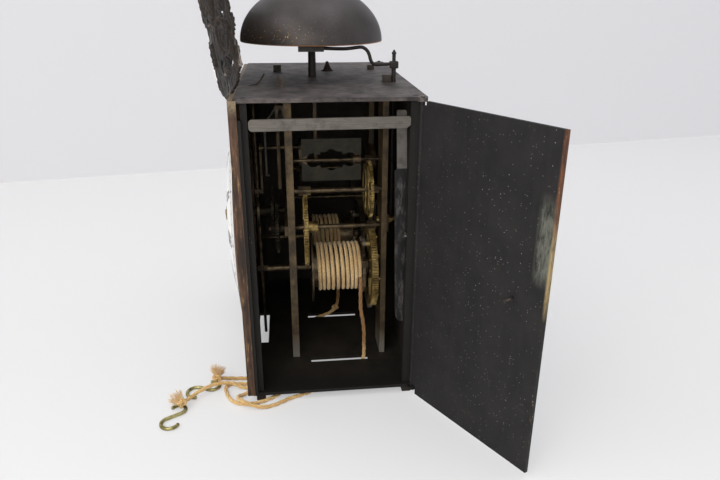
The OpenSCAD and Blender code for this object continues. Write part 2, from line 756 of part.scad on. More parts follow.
function drum_path(at, turns) =
    let (rings = 24 * turns, most = turns)
    concat([for (i = [8 : rings]) let (u = i / 24, a = -u * 360)
        [at[0] + wound_r * cos(a), wound_front + (tight_pitch + open_pitch / 2) * u
            - open_pitch * most / (4 * PI) * 2 * sin(360 * u / most) / 2, at[1] + wound_r * sin(a)]],
        [[at[0] + wound_r, wound_front + (tight_pitch + open_pitch / 2) * turns, at[1] - wound_d]]);
module strike_winding() {
    path = drum_path(s1, strike_turns);
    echo(strike_least_gap = least_gap(path, wound_d, 20));
    color("#c9a86a") lift() tube(path, wound_d, 6);
}
module going_winding() {
    path = drum_path(g1, going_turns);
    echo(going_least_gap = least_gap(path, wound_d, 20));
    color("#c9a86a") lift() tube(path, wound_d, 6);
}

click_a = 60;
click_r = ratchet_r + 6;
module great_wheel(at, n, m, rho, phase, pins) {
    y = [great_y, great_y + great_t];
    stud = at + polar(click_r, click_a);
    difference() {
        union() {
            gear(at, y, n, m, rho, phase, 8, 14, 4, 8);
            slice_y(y, at) rotate(click_a) translate([click_r / 2 + 3, 0])
                square([click_r, 9], center = true);
            if (pins > 0) for (i = [0 : pins - 1])
                rod_y(at + polar(n * m / 2 - 5.5, i * 360 / pins), [y[1] - 1, y[1] + 2.1], 1.5);
            rod_y(stud, [ratchet_y - 0.3, y[0] + 1], 1.5);
            rod_y(stud, [ratchet_y + 3, y[0] + 1], 2.6);
        }
        rod_y(at, [y[0] - 1, y[1] + 3], wind_d / 2 + run_gap);
    }
}
m12 = module_of(dist(s1, s2), great_teeth, second_leaves);
m23 = module_of(dist(s2, s3), second_teeth, third_leaves);
m34 = module_of(dist(s3, s4), third_teeth, fly_leaves);
n12 = module_of(dist(g1, g2), going_great_teeth, going_second_leaves);
n23 = module_of(dist(g2, g3), going_second_teeth, going_third_leaves);
n34 = module_of(dist(g3, g4), going_third_teeth, escape_leaves);
mc = module_of(dist(centre, reverse_at), reverse_teeth, minute_leaves);
mh = module_of(dist(centre, reverse_at), hour_teeth, reverse_leaves);

module strike_great_wheel() color("#a88c45") lift()
    great_wheel(s1, great_teeth, m12, second_leaves * m12 / 4, aim(s1, s2), 10);
module going_great_wheel() color("#a88c45") lift()
    great_wheel(g1, going_great_teeth, n12, going_second_leaves * n12 / 4, aim(g1, g2), 0);

module click(at) {
    a = click_a;
    stud = at + polar(click_r, a);
    nose = at + polar(ratchet_r + 0.4, a + 24);
    back = at + polar(ratchet_r + 4, a + 21);
    side = at + polar(click_r + 2.4, a + 5);
    inner = at + polar(click_r - 2.6, a + 5);
    slice_y([ratchet_y + 0.3, ratchet_y + 2.8]) difference() {
        union() {
            translate(stud) circle(r = 2.8);
            polygon([stud - polar(2, a), stud + polar(2, a), side, back, nose, inner]);
        }
        translate(stud) circle(r = 1.5 + run_gap);
    }
}
module strike_click() color("#8f8a80") lift() click(s1);
module going_click() color("#8f8a80") lift() click(g1);

front_plane = [-23, -19.4];
module strike_second_wheel() {
    color("#a88c45") lift() {
        arbor(s2);
        gear(s2, front_plane, second_teeth, m23, third_leaves * m23 / 4, aim(s2, s3), 3.6, 7, 4, 3.4);
        rod_y(s2, [front_plane[1], -10], 5.5);
        pinion(s2, [great_y - 1.5, great_y + great_t + 1.4], second_leaves, m12, aim(s2, s1));
    }
}
module strike_third_wheel() {
    color("#a88c45") lift() {
        arbor(s3);
        pinion(s3, [-27, -16], third_leaves, m23, aim(s3, s2));
        gear(s3, [36, 38.6], third_teeth, m34, fly_leaves * m34 / 4, aim(s3, s4), 3, 6, 4, 3);
        difference() {
            rod_y(s3, [33.4, 34.2], 23);
            rod_y(s3, [33, 35], 18);
        }
        slice_y([33.4, 34.2], s3) square([3, 38], center = true);
        slice_y([40, 46], s3) square(6, center = true);
    }
}
module lobes() {
    square([34, 10], center = true);
    for (s = [-1, 1]) translate([s * 16.5, 0]) circle(r = 6.5);
    for (s = [-1, 1]) translate([0, s * 5]) circle(r = 5);
    square([20, 15], center = true);
}
module fly() {
    middle = 4;
    color("#8a7550") lift() {
        difference() {
            union() {
                slice_x([fly_x - vane_t / 2, fly_x + vane_t / 2]) translate([middle, fly_z]) difference() {
                    square([vane_l, vane_h], center = true);
                    lobes();
                }
                rod_y(s4, [middle - vane_l / 2 + 0.5, middle - 19], 1.8);
                rod_y(s4, [middle + 19, middle + vane_l / 2 - 0.5], 4.2);
            }
        }
        rod_y(s4, [arbor_front, arbor_rear], 1.4);
        rod_y(s4, [arbor_front - pivot_l, arbor_rear + pivot_l - 1], pivot_r);
        pinion(s4, [34.6, 40], fly_leaves, m34, aim(s4, s3));
    }
}

module going_second_wheel() {
    color("#a88c45") lift() {
        arbor(g2);
        gear(g2, front_plane, going_second_teeth, n23, going_third_leaves * n23 / 4, aim(g2, g3), 3.6, 7,
            4, 3.4);
        pinion(g2, [great_y - 1.5, great_y + great_t + 1.4], going_second_leaves, n12, aim(g2, g1));
    }
}
module going_third_wheel() {
    color("#a88c45") lift() {
        rod_y(g3, [arbor_front, arbor_rear], 1.8);
        rod_y(g3, [arbor_front - pivot_l, arbor_rear + pivot_l - 1], pivot_r);
        pinion(g3, [-27, -16], going_third_leaves, n23, aim(g3, g2));
        gear(g3, [30, 32.6], going_third_teeth, n34, escape_leaves * n34 / 4, aim(g3, g4), 3, 6, 4, 3);
    }
}
module escape_wheel() {
    color("#a88c45") lift() {
        rod_y(g4, [arbor_front, arbor_rear], 1.6);
        rod_y(g4, [arbor_front - pivot_l, arbor_rear + pivot_l - 1], pivot_r);
        slice_y([-24, -22], g4) difference() {
            polygon(saw_points(escape_teeth, escape_r, 3.2));
            windows(escape_r - 5.5, 4, 4, 2.4);
        }
        pinion(g4, [28, 35], escape_leaves, n34, aim(g4, g3));
    }
}

module anchor_arm() {
    polygon([[0, 4], [12, -3.5], [15.5, -9], [13.6, -11.4], [12.6, -10.9], [11.5, -7.5], [3, -3.2],
        [0, -4]]);
}
module anchor() {
    color("#6d655e") lift() {
        rod_y(anchor_at, [pendulum_y + 6, -10.4], arbor_r);
        rod_y(anchor_at, [-11, -7.2], pivot_r);
        slice_y([-24.6, -21.4], anchor_at) rotate(aim(anchor_at, g4) + 90) {
            anchor_arm();
            mirror([1, 0]) anchor_arm();
            circle(r = 4.5);
        }
    }
}
module crutch() {
    front = pendulum_y + 6;
    low = fork_z - 2;
    reach = pendulum_d / 2 + 0.5;
    color("#8e8a84") lift() {
        rod_y(anchor_at, [front - 2.6, front - 0.1], 4);
        block([-1.5, 1.5], [front - 2.6, front - 0.6], [low, anchor_z]);
        block([-reach - 1.5, reach + 1.5], [front - 2.6, front - 0.6], [low, low + 4]);
        for (x = [[-reach - 1.5, -reach], [reach, reach + 1.5]])
            block(x, [pendulum_y - 3, front - 0.6], [low, low + 4]);
    }
}
module suspension_cock() {
    y = pendulum_y;
    color("#453b35") lift() {
        block([-6, 6], [y - 4, y + 4], [pendulum_z + 6, roof_z]);
        for (c = [[y - 4, y - 2], [y + 2, y + 4]]) block([-4, 4], c, [pendulum_z - 4, pendulum_z + 6]);
        rod_y([0, pendulum_z], [y - 3, y + 3], 1.2);
    }
}
module pendulum_rod() {
    y = pendulum_y;
    ring_r = 15;
    color("#8e8a84") lift() {
        difference() {
            union() {
                rod_y([0, pendulum_z], [y - 1.7, y + 1.7], 3.4);
                rod_z(0, y, [dial_z + ring_r - 1, pendulum_z - 2], pendulum_d / 2);
            }
            rod_y([0, pendulum_z], [y - 2, y + 2], 1.2 + run_gap);
        }
        rod_z(0, y, [-2, dial_z - ring_r + 1], pendulum_d / 2);
        slice_y([y - 1.1, y + 1.1], centre) difference() {
            circle(r = ring_r);
            circle(r = ring_r - 3);
        }
    }
}

module motion_bridge() {
    y = [bridge_y - bridge_t, bridge_y];
    color("#4b3f38") lift() {
        block([going_bar_x - 12, strike_bar_x + 12], y, [dial_z - 4.5, dial_z + 4.5]);
        block([reverse_x - 5, reverse_x + 5], y, [reverse_at[1] - 5, dial_z]);
        rod_y(centre, [post_front + 0.5, y[0] + 1], 1.6);
        rod_y(centre, [post_front, minute_hand_y - 0.2], 2.8);
        rod_y(reverse_at, [hour_plane - 3, y[0] + 1], 2);
    }
}
module minute_pipe() {
    color("#a88c45") lift() difference() {
        union() {
            rod_y(centre, [minute_hand_y + hand_t, bridge_y - bridge_t - end_gap], 3.2);
            pinion(centre, [minute_plane, minute_plane + 2.8], minute_leaves, mc, aim(centre, reverse_at));
        }
        rod_y(centre, [post_front, 0], 1.6 + run_gap);
    }
}
module hour_wheel() {
    color("#a88c45") lift() difference() {
        union() {
            rod_y(centre, [hour_hand_y + hand_t, hour_plane + 2.8], 5);
            gear(centre, [hour_plane, hour_plane + 2.6], hour_teeth, mh, reverse_leaves * mh / 4,
                aim(centre, reverse_at), 3.4, 9, 4, 4);
        }
        rod_y(centre, [post_front, 0], 3.2 + run_gap);
    }
}
module reverse_wheel() {
    color("#a88c45") lift() difference() {
        union() {
            gear(reverse_at, [minute_plane, minute_plane + 2.8], reverse_teeth, mc, minute_leaves * mc / 4,
                aim(reverse_at, centre), 3.6, 9, 4, 4);
            pinion(reverse_at, [hour_plane - 0.6, minute_plane + 0.2], reverse_leaves, mh,
                aim(reverse_at, centre));
            rod_y(reverse_at, [minute_plane, bridge_y - bridge_t - end_gap], 5);
        }
        rod_y(reverse_at, [hour_plane - 4, 0], 2 + run_gap);
    }
}
module hand(at, y, angle, hub_r, bore_r, length, width) {
    slice_y([y, y + hand_t], at) rotate(-angle) difference() {
        union() {
            circle(r = hub_r);
            polygon([[-width / 2, 0], [width / 2, 0], [width * 0.3, length * 0.7], [0, length],
                [-width * 0.3, length * 0.7]]);
            translate([0, length * 0.32]) circle(r = width * 1.05);
            translate([0, length * 0.55]) circle(r = width * 1.25);
            translate([0, length * 0.74]) circle(r = width * 0.8);
            translate([0, -hub_r]) circle(r = width * 0.9);
        }
        circle(r = bore_r);
        translate([0, length * 0.32]) circle(r = width * 0.6);
        for (s = [-1, 1]) translate([s * width * 0.62, length * 0.55]) circle(r = width * 0.42);
        translate([0, length * 0.74]) circle(r = width * 0.4);
    }
}
module minute_hand() {
    color("#b99a4d") lift() hand(centre, minute_hand_y, -90, 6.5, 1.6 + run_gap, minute_hand_l, 6);
}
module hour_hand() {
    color("#b99a4d") lift() hand(centre, hour_hand_y, -67.5, 8.5, 3.2 + run_gap, hour_hand_l, 7);
}

// A door as it is closed on the clock's right, with the hinge axis at the origin
module door_leaf() {
    top = door_low + door_h;
    block([-door_t / 2, door_t / 2], [-door_w, -6], [door_low, top]);
    block([-door_t / 2, door_t / 2], [-6.5, 0], [6, roof_z - 3]);
    rod_z(0, 0, [plate_t + end_gap, roof_z - end_gap], hinge_d / 2);
    rod_z(0, 0, [-1, cage_h + 1], hinge_d / 2 - 0.5);
}
module right_door() {
    color("#2a2627") lift() translate([hinge_x, hinge_y, 0]) rotate(right_open) door_leaf();
}
module left_door() {
    color("#2a2627") lift() translate([-hinge_x, hinge_y, 0]) mirror([1, 0, 0]) door_leaf();
}

// The ropes' own lines, from the drums to the knots, in real millimetres above the table
strike_route = [[71.5, 28.4, 97.6], [71.4, 28.4, 92], [71, 28.4, 83], [70.5, 28.5, 73], [70.1, 29, 62],
    [70, 31, 50], [70, 32, 38], [70, 32, 26], [70, 32, 14], [70.5, 30.5, 7], [73, 26, 3.2], [77, 20, 2.1],
    [84, 11, 2], [91, 2, 2], [99, -7, 2], [106, -15, 2], [112, -24, 2], [116.5, -34, 2], [120, -42, 2],
    [125, -50, 2], [129, -58, 2], [130.8, -66, 2.4], [130.6, -74, 4.6], [127.8, -81, 6.2],
    [122.2, -87, 6.4], [116, -88.4, 4.4], [110.5, -85, 2.3], [107, -79, 2], [106, -70, 2], [105, -62, 2],
    [101.8, -57.5, 2], [98.7, -61, 2], [99.3, -71, 2], [100, -80, 2], [98, -88, 3.4], [95.4, -96, 5.8],
    [95.6, -105, 6.4], [97.5, -113, 6.4], [102.4, -120.4, 6], [108.5, -127, 5.8], [114.4, -131.7, 5.6],
    [120.8, -135.4, 6.4]];
going_route = [[-20.4, 15.9, 93.6], [-20.6, 15.8, 88], [-21.2, 15.5, 78], [-21.8, 15, 66], [-22.1, 14.6, 54],
    [-22.1, 14.2, 42], [-22, 13.8, 31], [-22, 12.4, 22], [-22, 9.2, 16], [-22, 3.4, 11.7], [-22, -4, 8.8],
    [-21.9, -11, 6.1], [-20.8, -16, 4], [-17.4, -18.8, 2.6], [-12, -19.4, 2], [-2, -19, 2], [9, -18.4, 2],
    [21, -18, 2], [33, -18, 2], [45, -19, 2], [56, -21.8, 2], [66, -25.8, 2],
    [76, -31, 2], [86, -36.6, 2], [96, -42, 2], [105, -47, 2], [112, -52, 2], [117.5, -58.6, 2],
    [121.5, -66, 2], [124, -74, 2], [124, -83, 2], [120, -91.6, 2], [112.6, -97, 2], [104, -100, 2],
    [96.6, -101, 2], [91.6, -96.6, 2], [91.6, -88, 2], [92.4, -79, 2], [92.8, -70, 2], [89.4, -64, 2],
    [85, -67, 2], [83.4, -76, 2], [82.8, -85, 2], [82.7, -93, 2.2], [84.3, -100, 4], [87.1, -105.9, 6.3]];
module strike_rope() color("#c8a468") tube(strike_route, rope_d, 8);
module going_rope() color("#c8a468") tube(going_route, rope_d, 8);

// Two loops bent in opposite ways and joined by the straight that touches both circles
function loop(at, r, from, to) =
    [for (i = [0 : 16]) let (p = at + polar(r, from + (to - from) * i / 16))
        [p[0], p[1], hook_wire_d / 2 + 0.1]];
function hook_path(big, big_r, big_sweep, small, small_r, small_sweep) =
    let (a = aim(big, small) + acos((big_r + small_r) / dist(big, small)))
    concat(loop(big, big_r, a + big_sweep, a), loop(small, small_r, a + 180, a + 180 + small_sweep));
module strike_hook() color("#9a8a52")
    tube(hook_path([144.2, -145], 7.5, 223, [125.8, -140.5], 6.3, 213), hook_wire_d, 12);
module going_hook() color("#9a8a52")
    tube(hook_path([101, -128], 8.1, 214, [92, -114], 6.6, 225), hook_wire_d, 12);

// A knot lies on its hook's small loop, with the rope's frayed end beside it
module knot(at, along) {
    translate(at) sphere(r = 4);
    translate(at) rotate([0, acos(along[2] / norm(along)), atan2(along[1], along[0])])
        cylinder(h = norm(along), r1 = 2.4, r2 = 4.6);
}
module strike_knot() color("#d2b078") knot([124.5, -137.5, 7.5], [-8, -6, 1]);
module going_knot() color("#d2b078") knot([88.5, -109.8, 7.5], [-7, 1, 6]);

bottom_plate();
top_plate();
corner_posts();
feet();
strike_front_bar();
strike_rear_bar();
going_front_bar();
going_rear_bar();
centre_bar();
anchor_cock();
back_panel();
front_frame();
dial();
bezel();
crown();
crown_cartouche();
bell_post();
bell();
bell_nut();
plate_keys();
release_cocks();
hammer_cock();
hammer_cock_bolt();
guide_strip();
motion_bridge();
suspension_cock();
right_door();
left_door();
strike_great_wheel();
strike_barrel();
strike_winding();
strike_click();
strike_second_wheel();
strike_third_wheel();
fly();
going_great_wheel();
going_barrel();
going_winding();
going_click();
going_second_wheel();
going_third_wheel();
escape_wheel();
anchor();
crutch();
pendulum_rod();
minute_pipe();
minute_hand();
hour_wheel();
hour_hand();
reverse_wheel();
hammer();
hammer_head();
release_lever();
release_arbor();
strike_rope();
going_rope();
strike_knot();
going_knot();
strike_hook();
going_hook();
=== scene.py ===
"""A Comtoise clock movement in its iron cage, standing on a pale surface with its right door open.

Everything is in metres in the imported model's own frame: +X to the clock's right, -Y to its dial, +Z up.
Numbers in the calls below are millimetres unless a line says otherwise.
"""

import math
import random

import bmesh
import bpy
from mathutils import Matrix, Vector, noise


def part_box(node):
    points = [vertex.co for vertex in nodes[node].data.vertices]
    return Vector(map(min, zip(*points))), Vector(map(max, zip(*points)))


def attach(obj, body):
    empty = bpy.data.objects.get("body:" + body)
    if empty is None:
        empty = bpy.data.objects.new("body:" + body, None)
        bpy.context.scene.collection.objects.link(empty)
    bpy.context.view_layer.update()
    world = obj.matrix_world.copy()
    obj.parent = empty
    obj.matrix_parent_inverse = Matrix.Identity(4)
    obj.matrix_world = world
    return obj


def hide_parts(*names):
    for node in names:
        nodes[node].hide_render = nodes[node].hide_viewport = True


MM = 0.001
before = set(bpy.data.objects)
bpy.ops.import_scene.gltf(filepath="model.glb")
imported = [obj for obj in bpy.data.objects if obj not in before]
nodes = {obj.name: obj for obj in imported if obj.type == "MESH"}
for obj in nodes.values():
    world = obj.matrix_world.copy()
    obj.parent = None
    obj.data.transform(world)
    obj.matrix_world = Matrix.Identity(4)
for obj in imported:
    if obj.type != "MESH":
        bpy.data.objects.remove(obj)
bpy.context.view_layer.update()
CAGE = 7.0  # the bottom plate's underside above the surface
UP, DOWN, TO_RIGHT, TO_DIAL = (0, 0, 1), (0, 0, -1), (1, 0, 0), (0, -1, 0)
HINGE = (122, 70.4)  # the right door's hinge, seen from above
DOOR_WAY = (0.8616, 0.5075)  # from the hinge along the open door
TOP_OF_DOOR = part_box("right_door")[1][2] / MM - CAGE
DIAL_RADIUS, DIAL_DOME, DIAL_BACK, DIAL_CENTRE = 104, 13.5, -79.3, 135.5


# ---------------------------------------------------------------- small helpers

def mm(*values):
    """A point given in millimetres, in metres."""
    return Vector(values) * MM


def linear(colour):
    """An sRGB hex colour as linear RGBA."""
    parts = [int(colour[i:i + 2], 16) / 255 for i in (1, 3, 5)]
    return [p / 12.92 if p <= 0.04045 else ((p + 0.055) / 1.055) ** 2.4 for p in parts] + [1.0]


def add(tree, kind, inputs=None, **settings):
    """One node with its settings and its inputs, each a value or another node's output."""
    made = tree.nodes.new(kind)
    for name, value in settings.items():
        setattr(made, name, value)
    for name, value in (inputs or {}).items():
        if isinstance(value, bpy.types.NodeSocket):
            tree.links.new(value, made.inputs[name])
        else:
            made.inputs[name].default_value = value
    return made


def ramp(tree, factor, stops):
    """A colour ramp whose stops are (place, grey value)."""
    made = add(tree, "ShaderNodeValToRGB", {"Fac": factor})
    points = made.color_ramp.elements
    for point, (place, grey) in zip(points, stops):
        point.position = place
        point.color = (grey, grey, grey, 1.0)
    return made.outputs["Color"]


def finish(name):
    """A new material with its tree, its shader and its Object coordinates."""
    material = bpy.data.materials.new(name)
    material.use_nodes = True
    tree = material.node_tree
    shader = tree.nodes["Principled BSDF"]
    place = add(tree, "ShaderNodeTexCoord").outputs["Object"]
    return material, tree, shader, place


def blotches(tree, place, size, detail=4.0, roughness=0.55, stretch=(1, 1, 1)):
    """Noise whose patches are about size millimetres wide."""
    scaled = add(tree, "ShaderNodeMapping", {"Vector": place, "Scale": stretch}).outputs["Vector"]
    return add(tree, "ShaderNodeTexNoise", {
        "Vector": scaled, "Scale": 1 / (size * MM), "Detail": detail, "Roughness": roughness,
    }).outputs["Fac"]


def patches(tree, place, grain, low, high, stretch=(1, 1, 1)):
    """Blotches with a grain (size, detail, roughness), parted by two stops of a ramp."""
    return ramp(tree, blotches(tree, place, *grain, stretch=stretch), (low, high))


def mixed(tree, factor, below, above):
    """Two colours mixed by a factor. A colour is a hex value or another node's output."""
    made = add(tree, "ShaderNodeMix", data_type="RGBA", blend_type="MIX", clamp_factor=True)
    for slot, value in ((0, factor), (6, below), (7, above)):
        if isinstance(value, bpy.types.NodeSocket):
            tree.links.new(value, made.inputs[slot])
        else:
            made.inputs[slot].default_value = linear(value) if isinstance(value, str) else value
    return made.outputs[2]


def bump(tree, shader, height, depth, strength):
    """Relief that is depth millimetres deep."""
    made = add(tree, "ShaderNodeBump", {"Height": height, "Distance": depth * MM, "Strength": strength})
    link(tree, made.outputs["Normal"], shader, "Normal")


def along(tree, place, direction, start, end):
    """0 to 1 between two distances in millimetres along a direction."""
    far = add(tree, "ShaderNodeVectorMath", {0: place, 1: direction}, operation="DOT_PRODUCT")
    return add(tree, "ShaderNodeMapRange", {
        "Value": far.outputs["Value"], "From Min": start * MM, "From Max": end * MM}).outputs["Result"]


def times(tree, a, b, operation="MULTIPLY"):
    """The product of two values, or what another operation makes of them."""
    return add(tree, "ShaderNodeMath", {0: a, 1: b}, operation=operation).outputs[0]


def link(tree, output, shader, name):
    tree.links.new(output, shader.inputs[name])


def spread(tree, shader, value, least, most):
    """Roughness that goes from least to most with a value."""
    made = add(tree, "ShaderNodeMapRange", {"Value": value, "To Min": least, "To Max": most})
    link(tree, made.outputs["Result"], shader, "Roughness")


def set_inputs(shader, **wanted):
    """Plain values for the shader's inputs, named with _ for each space."""
    for name, value in wanted.items():
        shader.inputs[name.replace("_", " ")].default_value = value


def piece(name, mesh, material, smooth=True):
    """A finished bmesh as an object at the origin."""
    for face in mesh.faces:
        face.smooth = smooth
    data = bpy.data.meshes.new(name)
    mesh.to_mesh(data)
    mesh.free()
    data.materials.append(material)
    return placed(name, data)


def placed(name, data):
    """Mesh, camera or lamp data as an object in the scene."""
    made = bpy.data.objects.new(name, data)
    bpy.context.scene.collection.objects.link(made)
    return made


# ---------------------------------------------------------------- camera, light and stage

def photo_camera():
    """The camera that took the photo, fitted from the cage's corners."""
    camera = placed("photo_camera", bpy.data.cameras.new("photo_camera"))
    yaw, pitch, roll = -0.1134547, 0.3811819, 0.0037907  # radians
    focal_pixels, photo_width, sensor = 637.57, 720, 36
    forward = Vector((
        -math.cos(pitch) * math.cos(yaw), -math.cos(pitch) * math.sin(yaw), -math.sin(pitch)))
    right = forward.cross(Vector(UP)).normalized()
    up = right.cross(forward)
    level_right = math.cos(roll) * right + math.sin(roll) * up
    level_up = math.cos(roll) * up - math.sin(roll) * right
    turned = Matrix((level_right, level_up, -forward)).transposed().to_4x4()
    camera.matrix_world = Matrix.Translation(mm(611.218, -33.848, 346.588 + CAGE)) @ turned
    camera.data.sensor_width = sensor
    camera.data.lens = focal_pixels / photo_width * sensor
    camera.data.clip_start = 0.01
    camera.data.clip_end = 50
    bpy.context.scene.camera = camera


def soft_lamp(name, place, target, size, power, colour="#FFFFFF"):
    """A square area lamp that points at its target, in metres and watts."""
    lamp = placed(name, bpy.data.lights.new(name, "AREA"))
    lamp.data.shape = "RECTANGLE"
    lamp.data.size = lamp.data.size_y = size
    lamp.data.energy = power
    lamp.data.color = linear(colour)[:3]
    lamp.location = Vector(place)
    lamp.rotation_euler = (Vector(target) - Vector(place)).to_track_quat("-Z", "Y").to_euler()


def pale_paint(name, tone, share, one_sided=False):
    """Matt pale paint. The camera sees a share of its tone unshaded, and the rest keeps the soft
    shadow. The wall's paint is one-sided, so that the clock is seen through it from behind."""
    material, tree, shader, _ = finish(name)
    set_inputs(shader, Base_Color=linear(tone), Roughness=0.85, Specular_IOR_Level=0.2)
    flat = add(tree, "ShaderNodeEmission", {"Color": linear(tone), "Strength": 1.0})
    part = times(tree, add(tree, "ShaderNodeLightPath").outputs["Is Camera Ray"], share)
    both = add(tree, "ShaderNodeMixShader", {0: part, 1: shader.outputs[0], 2: flat.outputs[0]})
    if one_sided:
        back = add(tree, "ShaderNodeNewGeometry").outputs["Backfacing"]
        clear = add(tree, "ShaderNodeBsdfTransparent")
        both = add(tree, "ShaderNodeMixShader", {0: back, 1: both.outputs[0], 2: clear.outputs[0]})
    link(tree, both.outputs[0], tree.nodes["Material Output"], "Surface")
    return material


def stage_sheet(name, material, turns=(), shift=(0, 0, 0)):
    """A flat sheet 8 metres wide, after (degrees, axis) turns and a shift in metres."""
    mesh = bmesh.new()
    bmesh.ops.create_grid(mesh, x_segments=1, y_segments=1, size=4.0)
    for degrees, axis in turns:
        turn = Matrix.Rotation(math.radians(degrees), 3, axis)
        bmesh.ops.rotate(mesh, verts=mesh.verts, matrix=turn)
    bmesh.ops.translate(mesh, verts=mesh.verts, vec=shift)
    return piece(name, mesh, material)


def studio():
    """A bright sky, a large window lamp, a ceiling lamp and a small fill, with a floor and a wall."""
    scene = bpy.context.scene
    scene.view_settings.view_transform = "Standard"
    scene.world = bpy.data.worlds.new("studio")
    scene.world.use_nodes = True
    sky = scene.world.node_tree.nodes["Background"].inputs
    sky["Color"].default_value = linear("#F4F5F8")
    sky["Strength"].default_value = 0.74
    soft_lamp("window", (0.9, -1.3, 1.7), (0, 0, 0.1), 1.6, 18.5, "#FFFDF8")
    soft_lamp("ceiling", (-0.2, 0.4, 2.2), (0, 0, 0.1), 2.2, 17)
    soft_lamp("fill", (0.75, -0.2, 0.5), (0, 0, 0.12), 0.5, 2.4, "#FFFBF2")
    floor = stage_sheet("floor", pale_paint("pale_floor_paint", "#E4E4E5", 0.5))
    wall_paint = pale_paint("pale_wall_paint", "#E0DFE2", 0.6, one_sided=True)
    wall = stage_sheet("wall", wall_paint, ((90, "Y"), (9, "Z")), (-0.72, 0, 0))


# ---------------------------------------------------------------- finishes

def japanned_iron(name, ground, worn, speck, speckles, gloss, cloud, edge=None, dark_near=None):
    """Old black japan on sheet iron. The eye sees a charcoal film, cloudy where it is rubbed, with
    vertical drips and fine pale dust on it. dark_near is the stretch toward +X where it stays dark."""
    material, tree, shader, place = finish(name)
    film = mixed(tree, patches(tree, place, (cloud, 6, 0.62), (0.36, 0.0), (0.72, 1.0)), ground, worn)
    drips = patches(tree, place, (7, 5, 0.65), (0.42, 0.0), (0.7, 0.5), stretch=(1, 1, 0.12))
    film = mixed(tree, drips, film, worn)
    grain = patches(tree, place, (0.9, 4, 0.7), (0.46, 0.0), (0.72, 0.9))
    film = mixed(tree, grain, film, worn)
    for size, reach in ((1.3, 0.18), (2.9, 0.1)):
        dots = add(tree, "ShaderNodeTexVoronoi", {
            "Vector": place, "Scale": 1 / (size * MM), "Randomness": 1.0}).outputs
        small = times(tree, dots["Distance"], reach, "LESS_THAN")
        chosen = times(tree, dots["Color"], 1 - speckles * 0.2, "GREATER_THAN")
        lying = times(tree, chosen, patches(tree, place, (55, 3), (0.34, 0.25), (0.6, 1.0)))
        film = mixed(tree, times(tree, small, lying), film, speck)
    if edge:
        film = worn_edge(tree, place, film, *edge)
    if dark_near:
        film = mixed(tree, times(tree, along(tree, place, TO_RIGHT, *dark_near), 0.8), film, ground)
    link(tree, film, shader, "Base Color")
    spread(tree, shader, grain, gloss, gloss + 0.2)
    set_inputs(shader, Specular_IOR_Level=0.28)
    bump(tree, shader, blotches(tree, place, 1.2, 5, 0.6), 0.12, 0.7)
    return material


def worn_edge(tree, place, film, way, start, end):
    """The free edge of the door. The eye sees bare metal, orange at its top and tan below, pale nicks
    in it, a grey-green smear on the film beside it, and tan along the door's upper edge."""
    streaks = blotches(tree, place, 3, 7, 0.75, stretch=(1, 1, 0.22))
    on_edge = along(tree, place, way, start, end)
    height = times(tree, along(tree, place, UP, CAGE + 152, CAGE + 166),
        along(tree, place, DOWN, -CAGE - 222, -CAGE - 200))
    beside = times(tree, along(tree, place, way, start - 12.5, start - 8), height)
    smear = times(tree, beside, ramp(tree, streaks, [(0.38, 0.0), (0.56, 0.8)]))
    film = mixed(tree, smear, film, "#686A60")
    upper = times(tree,
        along(tree, place, UP, CAGE + TOP_OF_DOOR - 0.3, CAGE + TOP_OF_DOOR - 0.1),
        patches(tree, place, (6, 7, 0.75), (0.36, 0.2), (0.58, 1.0)))
    film = mixed(tree, upper, film, "#8C7F68")
    tan_to_rust = mixed(tree, along(tree, place, UP, CAGE + 186, CAGE + 204), "#9C875F", "#6B442C")
    worn_through = times(tree, along(tree, place, UP, CAGE + 128, CAGE + 144),
        ramp(tree, streaks, [(0.34, 0.25), (0.56, 1.0)]))
    film = mixed(tree, times(tree, on_edge, worn_through), film, tan_to_rust)
    nicks = patches(tree, place, (3, 8, 0.8), (0.6, 0.0), (0.66, 0.8), stretch=(1, 1, 0.4))
    return mixed(tree, times(tree, on_edge, nicks), film, "#9C8E6C")


def forged_iron(name, ground, worn, rust, patch, scratch, rough, metal, pale=None, pale_stretch=None):
    """Hammered and filed iron under old oil. The eye sees dark brown-grey metal, lighter where hands
    and tools rubbed it, with dull rust in the lows, short scratches along it and fine pale scuffs, or
    with one end paler over pale_stretch (direction, start, end)."""
    material, tree, shader, place = finish(name)
    base = mixed(tree, patches(tree, place, (patch, 6, 0.6), (0.4, 0.0), (0.68, 1.0)), ground, worn)
    lows = patches(tree, place, (patch * 0.4, 5, 0.7), (0.56, 0.0), (0.72, 1.0))
    base = mixed(tree, lows, base, rust)
    lines = patches(tree, place, (1.1, 3, 0.5), (0.62, 0.0), (0.74, scratch), stretch=(1, 0.09, 0.09))
    base = mixed(tree, lines, base, worn)
    base = mixed(tree, patches(tree, place, (0.8, 5, 0.75), (0.5, 0.0), (0.68, 0.8)), base, worn)
    if pale_stretch:
        base = mixed(tree, along(tree, place, *pale_stretch), base, pale)
    elif pale:
        scuffs = patches(tree, place, (2.6, 9, 0.85), (0.56, 0.0), (0.74, 0.9), stretch=(1, 0.45, 1))
        base = mixed(tree, scuffs, base, pale)
    link(tree, base, shader, "Base Color")
    set_inputs(shader, Metallic=metal)
    spread(tree, shader, blotches(tree, place, 6, 4), rough - 0.1, rough + 0.16)
    bump(tree, shader, blotches(tree, place, 1.6, 7, 0.7), 0.25, 0.7)
    return material


